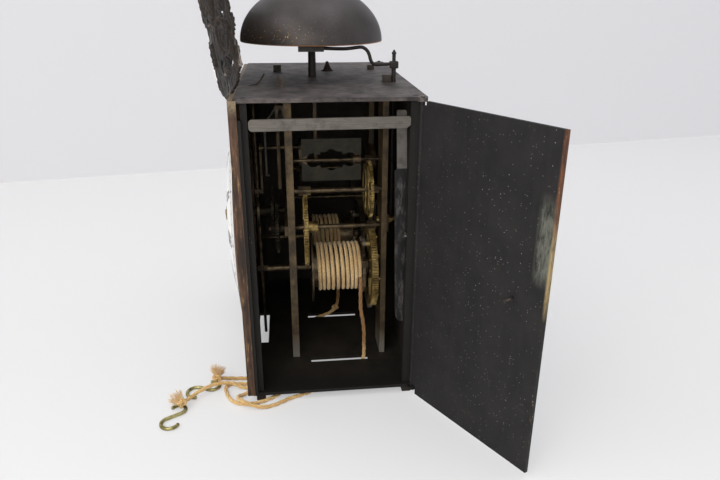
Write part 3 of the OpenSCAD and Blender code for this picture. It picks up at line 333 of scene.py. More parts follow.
def bell_metal(name):
    """Toned bell metal. The eye sees a smooth neutral grey-brown skin with soft clouds and small
    scratches, ochre and gold specks that gather near the rim, and a bare orange line at the rim."""
    material, tree, shader, place = finish(name)
    clouds = patches(tree, place, (26, 4, 0.5), (0.3, 0.0), (0.75, 1.0))
    base = mixed(tree, clouds, "#332F2E", "#474243")
    grain = patches(tree, place, (0.8, 5, 0.7), (0.52, 0.0), (0.78, 0.45))
    base = mixed(tree, grain, base, "#6A6260")
    low = along(tree, place, DOWN, -CAGE - 322, -CAGE - 303)
    front = along(tree, place, TO_DIAL, -4, 44)
    stain = patches(tree, place, (5, 7, 0.7), (0.46, 0.0), (0.6, 0.7))
    base = mixed(tree, times(tree, times(tree, low, front), stain), base, "#4A3A26")
    bits = patches(tree, place, (1.9, 4, 0.62), (0.635, 0.0), (0.665, 1.0))
    gathered = times(tree, low, ramp(tree, front, [(0.0, 0.12), (0.7, 1.0)]))
    base = mixed(tree, times(tree, bits, gathered), base, "#BD9F6C")
    scuffs = patches(tree, place, (4.5, 5, 0.7), (0.71, 0.0), (0.735, 0.6), stretch=(1, 1.4, 0.5))
    base = mixed(tree, scuffs, base, "#B3ADA8")
    rim = along(tree, place, DOWN, -CAGE - 299.3, -CAGE - 298.9)
    link(tree, mixed(tree, rim, base, "#A8754E"), shader, "Base Color")
    set_inputs(shader, Metallic=0.5)
    spread(tree, shader, blotches(tree, place, 14, 5), 0.42, 0.52)
    bump(tree, shader, blotches(tree, place, 3, 5, 0.6), 0.08, 0.5)
    return material


def pressed_crest(name):
    """Thin brass pressed into relief and gone brown. The eye sees fibrous dark brown that runs up the
    sheet, near black in the lows, with ochre bits and a few long silvery streaks, partly brass rubbed
    bare and partly painted highlight."""
    material, tree, shader, place = finish(name)
    height = add(tree, "ShaderNodeAttribute", attribute_name="relief").outputs["Fac"]
    fibres = patches(tree, place, (2.6, 8, 0.78), (0.42, 0.0), (0.66, 1.0), stretch=(1, 1, 0.16))
    base = mixed(tree, fibres, "#0A0807", "#33281F")
    field = times(tree, ramp(tree, height, [(0.3, 0.0), (0.7, 0.8)]),
        patches(tree, place, (7, 6, 0.7), (0.46, 0.0), (0.62, 1.0)))
    base = mixed(tree, field, base, "#443222")
    ochre = times(tree, patches(tree, place, (3, 8, 0.8), (0.6, 0.0), (0.68, 1.0)),
        ramp(tree, height, [(0.2, 0.2), (0.6, 1.0)]))
    base = mixed(tree, ochre, base, "#9A6B46")
    # Long silvery streaks: partly rubbed brass, partly painted highlight
    streak = times(tree,
        patches(tree, place, (5.5, 6, 0.72), (0.53, 0.0), (0.64, 0.85), stretch=(1, 1, 0.13)),
        patches(tree, place, (34, 3), (0.5, 0.0), (0.58, 1.0)))
    base = mixed(tree, streak, base, "#B8AFA4")
    low = times(tree, ramp(tree, height, [(0.02, 1.0), (0.24, 0.0)]), 0.8)
    link(tree, mixed(tree, low, base, "#0C0A09"), shader, "Base Color")
    set_inputs(shader, Metallic=0.45)
    spread(tree, shader, blotches(tree, place, 2, 5), 0.46, 0.75)
    bump(tree, shader, blotches(tree, place, 1.3, 6, 0.7), 0.2, 0.9)
    return material


def oiled_brass(name, ground, bright, grime, patch, rough, metallic, flecks=None, stretch=(1, 1, 1)):
    """Cast brass left to tone. The eye sees olive gold, nearly black with old oil in the corners and
    brighter on the rubbed edges. The front frame has golden flecks too, and is paler at its top.
    With dark colours it gives wheel brass darkened as painted shade."""
    material, tree, shader, place = finish(name)
    toned = patches(tree, place, (patch, 6, 0.6), (0.38, 0.0), (0.66, 1.0), stretch)
    base = mixed(tree, toned, ground, bright)
    oil = patches(tree, place, (patch * 0.3, 6, 0.7), (0.5, 0.0), (0.68, 0.9), stretch)
    base = mixed(tree, oil, base, grime)
    if flecks:
        bare = patches(tree, place, (3, 9, 0.82), (0.575, 0.0), (0.65, 0.9), stretch)
        base = mixed(tree, bare, base, flecks)
        pale = times(tree, along(tree, place, UP, CAGE + 252, CAGE + 262),
            patches(tree, place, (4, 7, 0.7), (0.36, 0.1), (0.62, 1.0)))
        base = mixed(tree, pale, base, "#8A7A62")
    link(tree, base, shader, "Base Color")
    set_inputs(shader, Metallic=metallic)
    spread(tree, shader, blotches(tree, place, 4, 5), rough - 0.08, rough + 0.2)
    bump(tree, shader, blotches(tree, place, 0.9, 4, 0.6), 0.06, 0.6)
    return material


def worn_steel(name, ground, bright, stain, dark_below=None):
    """Flat filed steel with a grey skin. The eye sees fine lengthwise file marks and dark stains, and,
    where a strip is darker below a height, a dark skin with chalky scuffs."""
    material, tree, shader, place = finish(name)
    marks = blotches(tree, place, 0.9, 4, 0.6, stretch=(1, 0.05, 1))
    base = mixed(tree, ramp(tree, marks, [(0.3, 0.0), (0.7, 1.0)]), ground, bright)
    base = mixed(tree, patches(tree, place, (9, 6, 0.65), (0.5, 0.0), (0.72, 0.85)), base, stain)
    if dark_below:
        scuffed = patches(tree, place, (5, 8, 0.72), (0.5, 0.0), (0.7, 0.85), stretch=(1, 1, 0.3))
        below = along(tree, place, DOWN, -CAGE - dark_below - 0.4, -CAGE - dark_below + 0.4)
        base = mixed(tree, below, base, mixed(tree, scuffed, "#0E0D0D", "#5E5A58"))
    link(tree, base, shader, "Base Color")
    set_inputs(shader, Metallic=0.5, Roughness=0.5)
    bump(tree, shader, marks, 0.05, 0.5)
    return material


def vitreous_enamel(name):
    """White enamel fired on copper. The eye sees a glassy, faintly warm white with pin-holes and
    dust in the glaze."""
    material, tree, shader, place = finish(name)
    clouds = patches(tree, place, (30, 4), (0.35, 0.0), (0.7, 1.0))
    base = mixed(tree, clouds, "#EFEDE6", "#E3E1DA")
    dots = add(tree, "ShaderNodeTexVoronoi", {"Vector": place, "Scale": 1 / (7 * MM)})
    pits = ramp(tree, dots.outputs["Distance"], [(0.03, 1.0), (0.05, 0.0)])
    link(tree, mixed(tree, pits, base, "#5B5248"), shader, "Base Color")
    set_inputs(shader, Roughness=0.14, Coat_Weight=0.5, Coat_Roughness=0.08)
    return material


def numeral_paint(name):
    """Black enamel paint. The eye sees a soft black, faintly brown where it is thin."""
    material, tree, shader, place = finish(name)
    link(tree, mixed(tree, blotches(tree, place, 3, 4), "#14110F", "#2C2622"), shader, "Base Color")
    set_inputs(shader, Roughness=0.3)
    return material


def straw_cord(name, dark, light, shade_above=None):
    """Twisted jute-like cord. The eye sees straw gold fibres that run along each strand, dark between
    them and pale where they are broken, and the part that hangs in the movement is darkened brown as
    painted shade of the cage."""
    material, tree, shader, place = finish(name)
    fibres = blotches(tree, place, 0.9, 6, 0.7)
    strands = ramp(tree, fibres, [(0.3, 0.0), (0.68, 1.0)])
    base = mixed(tree, strands, dark, light)
    base = mixed(tree, patches(tree, place, (16, 3), (0.4, 0.0), (0.7, 0.55)), base, dark)
    if shade_above:
        # Painted shade: the strands above this height, inside the cage, are darkened brown
        cage_shade = times(tree, along(tree, place, UP, CAGE + shade_above, CAGE + shade_above + 16), 0.9)
        base = mixed(tree, cage_shade, base, mixed(tree, strands, "#4A2A0E", "#A06D33"))
    link(tree, base, shader, "Base Color")
    set_inputs(shader, Roughness=0.85, Sheen_Weight=0.25)
    bump(tree, shader, fibres, 0.25, 1.0)
    return material


# ---------------------------------------------------------------- cords

# Where each rope runs from its drum to its knot, in millimetres above the surface
FREE_STRIKE = [
    (71.5, 28.4, 97.6), (71.4, 28.4, 92), (71, 28.4, 83), (70.5, 28.5, 73), (70.1, 29, 62), (70, 31, 50),
    (70, 32, 38), (70, 32, 26), (70, 32, 14), (70.5, 30.5, 7), (73, 26, 3.2), (77, 20, 2.1), (84, 11, 2),
    (91, 2, 2), (99, -7, 2), (106, -15, 2), (112, -24, 2), (116.5, -34, 2), (120, -42, 2), (125, -50, 2),
    (129, -58, 2), (130.8, -66, 2.4), (130.6, -74, 4.6), (127.8, -81, 6.2), (122.2, -87, 6.4),
    (116, -88.4, 4.4), (110.5, -85, 2.3), (107, -79, 2), (106, -70, 2), (105, -62, 2), (101.8, -57.5, 2),
    (98.7, -61, 2), (99.3, -71, 2), (100, -80, 2), (98, -88, 3.4), (95.4, -96, 5.8), (95.6, -105, 6.4),
    (97.5, -113, 6.4), (102.4, -120.4, 6), (108.5, -127, 5.8), (114.4, -131.7, 5.6), (120.8, -135.4, 6.4),
]
FREE_GOING = [
    (-20.4, 15.9, 93.6), (-20.6, 15.8, 88), (-21.2, 15.5, 78), (-21.8, 15, 66), (-22.1, 14.6, 54),
    (-22.1, 14.2, 42), (-22, 13.8, 31), (-22, 12.4, 22), (-22, 9.2, 16), (-22, 3.4, 11.7), (-22, -4, 8.8),
    (-21.9, -11, 6.1), (-20.8, -16, 4), (-17.4, -18.8, 2.6), (-12, -19.4, 2), (-2, -19, 2), (9, -18.4, 2),
    (21, -18, 2), (33, -18, 2), (45, -19, 2), (56, -21.8, 2), (66, -25.8, 2),
    (76, -31, 2), (86, -36.6, 2), (96, -42, 2), (105, -47, 2), (112, -52, 2), (117.5, -58.6, 2),
    (121.5, -66, 2), (124, -74, 2), (124, -83, 2), (120, -91.6, 2), (112.6, -97, 2), (104, -100, 2),
    (96.6, -101, 2), (91.6, -96.6, 2), (91.6, -88, 2), (92.4, -79, 2), (92.8, -70, 2), (89.4, -64, 2),
    (85, -67, 2), (83.4, -76, 2), (82.8, -85, 2), (82.7, -93, 2.2), (84.3, -100, 4), (87.1, -105.9, 6.3),
]


def smooth_route(points, step):
    """The points of a smooth line through the given points, about step millimetres apart."""
    found = []
    count = len(points)
    for i in range(count - 1):
        before, here = points[max(i - 1, 0)], points[i]
        there, after = points[i + 1], points[min(i + 2, count - 1)]
        bend = 2 * before - 5 * here + 4 * there - after
        twist = 3 * here - before - 3 * there + after
        parts = max(1, round((there - here).length / (step * MM)))
        for k in range(parts):
            t = k / parts
            found.append(0.5 * (2 * here + (there - before) * t + bend * t * t + twist * t ** 3))
    found.append(points[-1])
    return found


def round_curve(name, radius, resolution, caps=True):
    """An empty curve whose lines are round bars of a radius in metres."""
    curve = bpy.data.curves.new(name, "CURVE")
    curve.dimensions = "3D"
    curve.bevel_depth = radius
    curve.bevel_resolution = resolution
    curve.use_fill_caps = caps
    return curve


def add_line(curve, line, radii=None):
    """One line of a curve through the points, with a share of its radius at each."""
    spline = curve.splines.new("POLY")
    spline.points.add(len(line) - 1)
    for spot, point, share in zip(spline.points, line, radii or [1] * len(line)):
        spot.co = (*point, 1)
        spot.radius = share


def curve_to_piece(name, curve, material):
    """A curve made a mesh object at the origin."""
    shape = placed(name + "_curve", curve)
    bpy.context.view_layer.update()
    data = bpy.data.meshes.new_from_object(shape.evaluated_get(bpy.context.evaluated_depsgraph_get()))
    bpy.data.objects.remove(shape)
    bpy.data.curves.remove(curve)
    data.name = name
    data.materials.clear()
    data.materials.append(material)
    for face in data.polygons:
        face.use_smooth = True
    return placed(name, data)


def laid_cord(name, route, diameter, material, strands=3, lay=6.2, step=0.8, seed=1):
    """Strands laid round one another along a route, as one mesh. lay is the length of one turn in
    diameters, and diameter is in metres."""
    rng = random.Random(seed)
    points = smooth_route(route, step)
    strand_r = diameter * 0.5 / (1 + 1 / math.sin(math.pi / strands)) * 1.12
    offset = diameter * 0.5 - strand_r
    side = Vector((0.6, 0.8, 0.1))
    frames = []
    travelled = 0.0
    for i, point in enumerate(points):
        ahead = (points[min(i + 1, len(points) - 1)] - points[max(i - 1, 0)]).normalized()
        side = (side - side.dot(ahead) * ahead).normalized()
        if i:
            travelled += (point - points[i - 1]).length
        frames.append((point, side, ahead.cross(side), travelled))
    curve = round_curve(name, strand_r, 2)
    for s in range(strands):
        line, radii = [], []
        for point, a, b, way in frames:
            turn = 2 * math.pi * (s / strands + way / (lay * diameter))
            line.append(point + offset * (math.cos(turn) * a + math.sin(turn) * b))
            radii.append(1 + rng.uniform(-0.07, 0.07))
        add_line(curve, line, radii)
    return curve_to_piece(name, curve, material)


def wire(name, points, diameter, material):
    """A round bar along a smooth line through the points, diameter in millimetres."""
    curve = round_curve(name, diameter / 2 * MM, 5)
    add_line(curve, smooth_route(points, 0.8))
    return curve_to_piece(name, curve, material)


def block(name, across, deep, high, material, soft=0.4):
    """A bar or plate between two values on each axis, in millimetres above the cage's foot, with
    softened edges."""
    mesh = bmesh.new()
    bmesh.ops.create_cube(mesh, size=1)
    x, y, z = [(a + b) / 2 for a, b in (across, deep, high)]
    bmesh.ops.scale(mesh, verts=mesh.verts, vec=[(b - a) * MM for a, b in (across, deep, high)])
    bmesh.ops.bevel(
        mesh, geom=mesh.edges[:], offset=soft * MM, segments=2, profile=0.6, affect="EDGES")
    bmesh.ops.translate(mesh, verts=mesh.verts, vec=mm(x, y, z + CAGE))
    return piece(name, mesh, material, smooth=False)


def lathe(name, at, profile, material, steps=28):
    """An upright turned piece from (radius, height) pairs, in millimetres from its foot."""
    mesh = bmesh.new()
    spots = [mesh.verts.new((r * MM, 0, h * MM)) for r, h in profile]
    edges = [mesh.edges.new(pair) for pair in zip(spots, spots[1:])]
    bmesh.ops.spin(
        mesh, geom=spots + edges, axis=UP, cent=(0, 0, 0), steps=steps, angle=2 * math.pi)
    bmesh.ops.remove_doubles(mesh, verts=mesh.verts, dist=0.02 * MM)
    bmesh.ops.recalc_face_normals(mesh, faces=mesh.faces)
    bmesh.ops.translate(mesh, verts=mesh.verts, vec=mm(at[0], at[1], at[2] + CAGE))
    return piece(name, mesh, material)


def wound_route(centre_x, centre_z, turns):
    """The line of the cord on a drum, as the solid has it: tight turns that spread near the middle."""
    wound_r, front, tight, loose, steps = 21.8, -13.3, 3.6, 1.14, 24
    points = []
    for i in range(8, steps * turns + 1):
        u = i / steps
        angle = -2 * math.pi * u
        wave = loose * turns / (4 * math.pi) * math.sin(2 * math.pi * u / turns)
        depth = front + (tight + loose / 2) * u - wave
        points.append(mm(
            centre_x + wound_r * math.cos(angle), depth, CAGE + centre_z + wound_r * math.sin(angle)))
    end = front + (tight + loose / 2) * turns
    points.append(mm(centre_x + wound_r, end, CAGE + centre_z - 3.1))
    return points


# ---------------------------------------------------------------- hooks, knots and the crest

def arc(at, radius, start, end, count=40):
    """Points on a level arc, in millimetres and degrees."""
    turns = [math.radians(start + (end - start) * i / count) for i in range(count + 1)]
    return [mm(at[0] + radius * math.cos(t), at[1] + radius * math.sin(t), 1.7) for t in turns]


def s_hook(name, big, big_r, big_sweep, small, small_r, small_sweep):
    """Brass wire bent into two loops with a straight between them and rounded ends."""
    gap = math.hypot(small[0] - big[0], small[1] - big[1])
    middle = math.atan2(small[1] - big[1], small[0] - big[0])
    a = math.degrees(middle + math.acos((big_r + small_r) / gap))
    line = arc(big, big_r, a + big_sweep, a) + arc(small, small_r, a + 180, a + 180 + small_sweep)
    line.insert(0, line[0] + (line[0] - line[1]).normalized() * 0.6 * MM)
    line.append(line[-1] + (line[-1] - line[-2]).normalized() * 0.6 * MM)
    curve = round_curve(name, 1.6 * MM, 6)
    add_line(curve, line, [0.72] + [1] * (len(line) - 2) + [0.72])
    return curve_to_piece(name, curve, HOOK)


def knot_of_cord(name, at, along_end, seed, fibres=230, size=1.12):
    """An overhand knot of the cord, and its frayed end beside it if there are fibres."""
    rng = random.Random(seed)
    middle = mm(*at)
    way = Vector(along_end).normalized()
    side = way.cross(Vector(UP)).normalized()
    over = side.cross(way)
    loops = []
    for i in range(49):
        t = 2 * math.pi * i / 48
        loops.append(middle + MM * size * (
            (math.sin(t) + 2 * math.sin(2 * t)) * side + (math.cos(t) - 2 * math.cos(2 * t)) * over
            - 1.6 * math.sin(3 * t) * way))
    parts = [laid_cord(name, loops, 2.7 * size * MM, CORD, seed=seed)]
    if not fibres:
        return parts
    curve = round_curve(name + "_fibres", 0.2 * MM, 1, caps=False)
    length = Vector(along_end).length
    for _ in range(fibres):
        turn, out = rng.uniform(0, 2 * math.pi), math.sqrt(rng.random())
        bend = rng.uniform(-0.7, 0.7)
        reach = length * rng.uniform(0.7, 1.35)
        line, radii = [], []
        for u in (0, 0.2, 0.4, 0.6, 0.8, 1):
            wide = (1.7 + 6.2 * u ** 1.2) * out
            swing = turn + bend * u
            fan = math.cos(swing) * side + math.sin(swing) * over
            point = middle + MM * (reach * u * way + wide * fan)
            point.z = max(point.z, 0.3 * MM)
            line.append(point)
            radii.append(rng.uniform(0.7, 1.3) * (1 - 0.5 * u))
        add_line(curve, line, radii)
    parts.append(curve_to_piece(name + "_fibres", curve, TUFT))
    return parts


# The right half of the crest, across and above its foot; holes are (across, above, radius)
CREST_EDGE = [
    (0, 0), (68, 0), (76, 2.5), (92, 9.5), (106, 17), (111, 25), (118, 31), (119, 40), (117, 52),
    (120, 62), (117, 74), (119, 84), (113, 92), (100, 95), (88, 105), (73, 108), (61, 118),
    (44, 119), (30, 125), (14, 127), (0, 128),
]
CREST_HOLES = [
    (103, 66, 4), (98, 34, 3.5), (84, 84, 4), (56, 96, 4.5), (26, 106, 4), (76, 28, 5), (54, 62, 6),
]


def to_segment(x, y, a, b):
    """Distance from a point to a straight."""
    dx, dy = b[0] - a[0], b[1] - a[1]
    t = max(0, min(1, ((x - a[0]) * dx + (y - a[1]) * dy) / (dx * dx + dy * dy)))
    return math.hypot(x - a[0] - t * dx, y - a[1] - t * dy)


def inside_edge(x, y):
    """Whether a point of the half crest lies inside its outline."""
    crossings = 0
    ring = CREST_EDGE + [(0, 0)]
    for (ax, ay), (bx, by) in zip(ring, ring[1:]):
        if (ay > y) != (by > y) and x < ax + (y - ay) / (by - ay) * (bx - ax):
            crossings += 1
    return crossings % 2 == 1


def ridge(distance, width):
    """1 on a line and less beside it."""
    return math.exp(-(distance / width) ** 2)


def crest_relief(x, y):
    """Height of the pressed pattern, from 0 to about 1."""
    # the rolled edge and the ring round the cartouche
    edge = min(to_segment(x, y, a, b) for a, b in zip(CREST_EDGE[1:], CREST_EDGE[2:]))
    height = max(0.12, 0.75 * ridge(edge - 2.4, 1.5))
    height = max(height, 0.9 * ridge(math.hypot(x, y - 17.5) - 18, 1.7))
    # the shell
    shell_r = 56
    r, turn = math.hypot(x, y - 52), math.atan2(x, y - 52)
    if r < shell_r and abs(turn) < 1.25:
        fan = (0.5 + 0.5 * math.cos(turn * 17)) * min(1, r / 14) * min(1, max(0, (shell_r - r) / 7))
        height = max(height, 0.25 + 0.7 * fan)
    # the scrolls: middle, the way they turn and size
    for cx, cy, hand, big in ((66, 78, 1, 21), (96, 50, -1, 17), (44, 36, 1, 13)):
        r, turn = math.hypot(x - cx, y - cy), math.atan2(y - cy, x - cx) * hand
        if r < big:
            coil = (r - turn * big / 19) % (big / 3.03)
            lane = min(coil, big / 3.03 - coil)
            height = max(height, (0.4 + 0.55 * r / big) * ridge(lane, big / 12) + 0.12)
    # the leaves: middle, tilt in radians and length
    for cx, cy, tilt, long in (
            (100, 78, 0.8, 20), (84, 26, 0.25, 20), (26, 96, 1.25, 22), (110, 34, 1.5, 12)):
        u = (x - cx) * math.cos(tilt) + (y - cy) * math.sin(tilt)
        v = -(x - cx) * math.sin(tilt) + (y - cy) * math.cos(tilt)
        half = long * 0.26 * math.cos(math.pi * u / long)
        if abs(u) < long / 2 and abs(v) < half:
            vein = 0.5 + 0.5 * math.cos(u * 1.4 - abs(v) * 1.2)
            height = max(height, 0.35 + 0.4 * (1 - abs(v) / half) + 0.2 * vein)
    fibre = noise.noise(Vector((x * 0.42, y * 0.07, 2)))
    fibre = fibre + 0.6 * noise.noise(Vector((x * 0.95, y * 0.16, 7)))
    return height * 0.8 + 0.3 * fibre + 0.1 * noise.noise(Vector((x, y, 3)) * 0.35)


def pressed_crest_piece(name):
    """The crest as a bowed sheet with pressed relief, cut to its outline and given its thickness."""
    wide, tall = 121, 129  # the half width and the height of the grid that it is cut from
    bow, out, lean = 217.6, 13.5, 8.5  # radius of the bow, its depth in front, lean in degrees
    mesh = bmesh.new()
    bmesh.ops.create_grid(mesh, x_segments=2 * wide, y_segments=tall, size=0.5)
    level = mesh.verts.layers.float.new("relief")
    kept = {}
    gone = []
    for vert in mesh.verts:
        x, h = vert.co.x * 2 * wide, (vert.co.y + 0.5) * tall
        x += 0.35 * noise.noise(Vector((x, h, 0)) * 0.5)
        h += 0.35 * noise.noise(Vector((x, h, 5)) * 0.5)
        in_hole = any(math.hypot(abs(x) - a, h - b) <= r for a, b, r in CREST_HOLES)
        if in_hole or not inside_edge(abs(x), h):
            gone.append(vert)
            continue
        raised = crest_relief(abs(x), h)
        vert[level] = raised
        # its left half has been bent back straighter than the right
        sag = -out + x * x / (2 * bow) * (1 if x > 0 else 0.2)
        kept[vert] = (x, sag - 3.2 * raised, h)
    bmesh.ops.delete(mesh, geom=gone, context="VERTS")
    for vert, spot in kept.items():
        vert.co = spot
    stray = [v for v in mesh.verts if not v.link_faces]
    bmesh.ops.delete(mesh, geom=stray, context="VERTS")
    rim = [v for v in mesh.verts if v.is_boundary]
    bmesh.ops.smooth_vert(
        mesh, verts=rim, factor=0.5, use_axis_x=True, use_axis_y=False, use_axis_z=True)
    bmesh.ops.recalc_face_normals(mesh, faces=mesh.faces)
    bmesh.ops.solidify(mesh, geom=mesh.faces[:], thickness=1.0)
    tilt = Matrix.Rotation(math.radians(lean), 3, "X")
    bmesh.ops.rotate(mesh, verts=mesh.verts, matrix=tilt)
    bmesh.ops.translate(mesh, verts=mesh.verts, vec=(0, DIAL_BACK + 0.2, CAGE + 257))
    bmesh.ops.scale(mesh, verts=mesh.verts, vec=(MM, MM, MM))
    return piece(name, mesh, CREST)


# ---------------------------------------------------------------- the dial's painting

def on_dial(across, up):
    """A point just in front of the domed enamel, from millimetres across and above its centre."""
    dome = DIAL_DOME * (1 - (math.hypot(across, up) / DIAL_RADIUS) ** 3)
    return mm(across, DIAL_BACK - 1.5 - dome - 0.12, CAGE + DIAL_CENTRE + up)


def painted(mesh, spots, columns, rows):
    """A patch of paint from a grid of points given as (across, up)."""
    made = bmesh.ops.create_grid(mesh, x_segments=columns, y_segments=rows, size=0.5)["verts"]
    for vert in made:
        vert.co = on_dial(*spots(vert.co.x + 0.5, vert.co.y + 0.5))


def stroke(mesh, turn, foot, head, width):
    """One stroke of a numeral. foot and head are (sideways, outward) before the turn round the dial."""
    dx, dy = head[0] - foot[0], head[1] - foot[1]
    length = math.hypot(dx, dy)
    nx, ny = -dy / length * width / 2, dx / length * width / 2

    def spot(u, v):
        side = foot[0] + dx * u + nx * (2 * v - 1)
        outward = foot[1] + dy * u + ny * (2 * v - 1)
        return (
            side * math.cos(turn) + outward * math.sin(turn),
            outward * math.cos(turn) - side * math.sin(turn))
    painted(mesh, spot, 6, 1)


def ring_of_paint(mesh, inner, outer):
    """A painted ring between two radii."""
    def spot(u, v):
        r = inner + (outer - inner) * v
        return r * math.cos(2 * math.pi * u), r * math.sin(2 * math.pi * u)
    painted(mesh, spot, 180, 1)


def dial_painting(name, material):
    """Hour numerals in Roman strokes, and a minute track whose fifth marks are wider."""
    mesh = bmesh.new()
    low, high = 64, 82
    thick, thin, serif = 2.3, 0.8, 0.6
    wide = {"I": 4.2, "V": 9.0, "X": 9.0}
    for hour, text in enumerate("I II III IIII V VI VII VIII IX X XI XII".split(), 1):
        turn = math.radians(30 * hour)
        place = -sum(wide[c] for c in text) / 2
        for mark in text:
            w = wide[mark]
            middle = place + w / 2
            left, right = middle - 3, middle + 3
            if mark == "I":
                stroke(mesh, turn, (middle, low), (middle, high), thick)
            elif mark == "V":
                stroke(mesh, turn, (left, high), (middle, low), thick)
                stroke(mesh, turn, (right, high), (middle, low), thin)
            else:
                stroke(mesh, turn, (left, high), (right, low), thick)
                stroke(mesh, turn, (right, high), (left, low), thin)
            for end in (low, high):
                stroke(mesh, turn, (middle - w * 0.42, end), (middle + w * 0.42, end), serif)
            place += w
    ring_of_paint(mesh, 88.0, 88.5)
    ring_of_paint(mesh, 92.5, 93.0)
    for minute in range(60):
        turn = math.radians(6 * minute)
        stroke(mesh, turn, (0, 88.2), (0, 92.8), 1.5 if minute % 5 == 0 else 0.6)
    return piece(name, mesh, material)


# ---------------------------------------------------------------- the clock

photo_camera()
studio()

hinge_reach = HINGE[0] * DOOR_WAY[0] + HINGE[1] * DOOR_WAY[1]
FREE_EDGE = ((*DOOR_WAY, 0), hinge_reach + 131.8, hinge_reach + 133.6)
FLOOR = japanned_iron(
    "oily_floor_iron", "#0A0908", "#2B2620", "#585048", 0.5, 0.62, 30, dark_near=(74, 108))
BLACK = japanned_iron("black_japanned_iron", "#100E0C", "#362F28", "#5A544C", 0.03, 0.6, 36)
POST = japanned_iron("chipped_japanned_post", "#0C0B0A", "#181513", "#C0AE92", 0.34, 0.68, 20)
DOOR = japanned_iron("door_japanned_iron", "#100F10", "#211F1F", "#A39F99", 1.0, 0.6, 30, FREE_EDGE)
TOP = forged_iron("rubbed_plate_iron", "#1B1717", "#5C5452", "#2A2120", 16, 0.25, 0.56, 0.3, "#8F8681")
BAR = forged_iron("filed_bar_iron", "#33291B", "#6A583B", "#453620", 14, 0.7, 0.5, 0.35, "#7C776F",
    (DOWN, -CAGE - 30, -CAGE - 6))
ARBOR = forged_iron("turned_arbor_iron", "#251D15", "#63543C", "#30261B", 8, 0.5, 0.3, 0.7)
DARK = forged_iron("blackened_post_iron", "#161311", "#2B2522", "#2A1F17", 10, 0.2, 0.5, 0.3)
KEY = forged_iron("oiled_key_iron", "#241D19", "#4C423B", "#3A2B20", 6, 0.3, 0.5, 0.4)
BELL = bell_metal("toned_bell_metal")
STEEL = worn_steel("filed_lever_steel", "#57524D", "#6B665F", "#423D38")
STRIP = worn_steel("dark_below_strip_steel", "#534F4B", "#65605B", "#3C3834", 206)
BRASS = oiled_brass("oiled_wheel_brass", "#5A4A2A", "#A78F57", "#2A2114", 7, 0.4, 0.72)
# A dark copy of the wheel brass: painted shade on the wheels and motion work that lie deep in the
# movement
SHADED = oiled_brass("painted_shade_wheel_brass", "#1C1810", "#3A3020", "#100D09", 7, 0.5, 0.6)
DULL = oiled_brass("dulled_vane_brass", "#1E1B12", "#2C2819", "#17150E", 12, 0.75, 0.05)
FRONT = oiled_brass("toned_front_brass", "#241810", "#6A4A33", "#120D0A", 6, 0.5, 0.3, "#B0945E",
    stretch=(1, 1, 0.12))
CREST = pressed_crest("pressed_crest_brass")
HOOK = oiled_brass("hook_brass_wire", "#7A7242", "#BDB47E", "#3C3A24", 6, 0.34, 0.85)
ENAMEL = vitreous_enamel("white_vitreous_enamel")
PAINT = numeral_paint("black_numeral_paint")
# The cord's strands more than 7 mm above the cage's foot get painted shade
CORD = straw_cord("straw_cord", "#A5793A", "#F0D196", 7)
TUFT = straw_cord("frayed_straw_fibre", "#B98A50", "#F4DDB2")
PALE_CORD = straw_cord("rubbed_straw_cord", "#94703F", "#E8CB98")

FINISHES = {
    "bottom_plate": FLOOR, "top_plate": TOP, "corner_posts": POST, "feet": BLACK, "back_panel": BLACK,
    "left_door": BLACK, "right_door": DOOR, "front_frame": FRONT, "bezel": FRONT, "crown": CREST,
    "dial": ENAMEL, "crown_cartouche": ENAMEL, "strike_front_bar": BAR, "strike_rear_bar": BAR,
    "going_front_bar": BAR, "going_rear_bar": BAR, "centre_bar": BAR, "anchor_cock": BAR,
    "release_cocks": BAR, "hammer_cock": BAR, "motion_bridge": BAR, "suspension_cock": BAR,
    "bell": BELL, "bell_post": DARK, "bell_nut": ARBOR, "plate_keys": KEY, "hammer": DARK,
    "hammer_head": DARK, "hammer_cock_bolt": BRASS, "guide_strip": STRIP, "release_lever": STEEL,
    "release_arbor": STEEL, "strike_great_wheel": BRASS, "strike_second_wheel": BRASS,
    "strike_third_wheel": BRASS, "fly": DULL, "going_great_wheel": SHADED,
    "going_second_wheel": SHADED, "going_third_wheel": SHADED, "escape_wheel": SHADED,
    "strike_barrel": ARBOR, "going_barrel": ARBOR, "strike_click": STEEL, "going_click": STEEL,
    "anchor": ARBOR, "crutch": ARBOR, "pendulum_rod": ARBOR, "minute_pipe": SHADED,
    "hour_wheel": SHADED, "reverse_wheel": SHADED, "minute_hand": BRASS, "hour_hand": BRASS,
    "strike_rope": CORD, "going_rope": CORD, "strike_winding": CORD, "going_winding": CORD,
    "strike_knot": CORD, "going_knot": CORD, "strike_hook": HOOK, "going_hook": HOOK,
}
for name, material in FINISHES.items():
    nodes[name].data.materials.clear()
    nodes[name].data.materials.append(material)

# Arbors and pinions are steel and the wheels on them brass: what lies near each arbor's line
ARBOR_REACH = 5.3
for name, x, z in (
    ("strike_second_wheel", 51.6, 136), ("strike_third_wheel", 60, 174), ("fly", 48, 199),
    ("going_second_wheel", -54, 131), ("going_third_wheel", -46, 166), ("escape_wheel", -20, 180),
):
    data = nodes[name].data
    data.materials.append(ARBOR)
    turned = nodes[name].matrix_world
    for face in data.polygons:
        spots = [turned @ data.vertices[v].co for v in face.vertices]
        if all(math.hypot(p.x / MM - x, p.z / MM - CAGE - z) < ARBOR_REACH for p in spots):
            face.material_index = 1

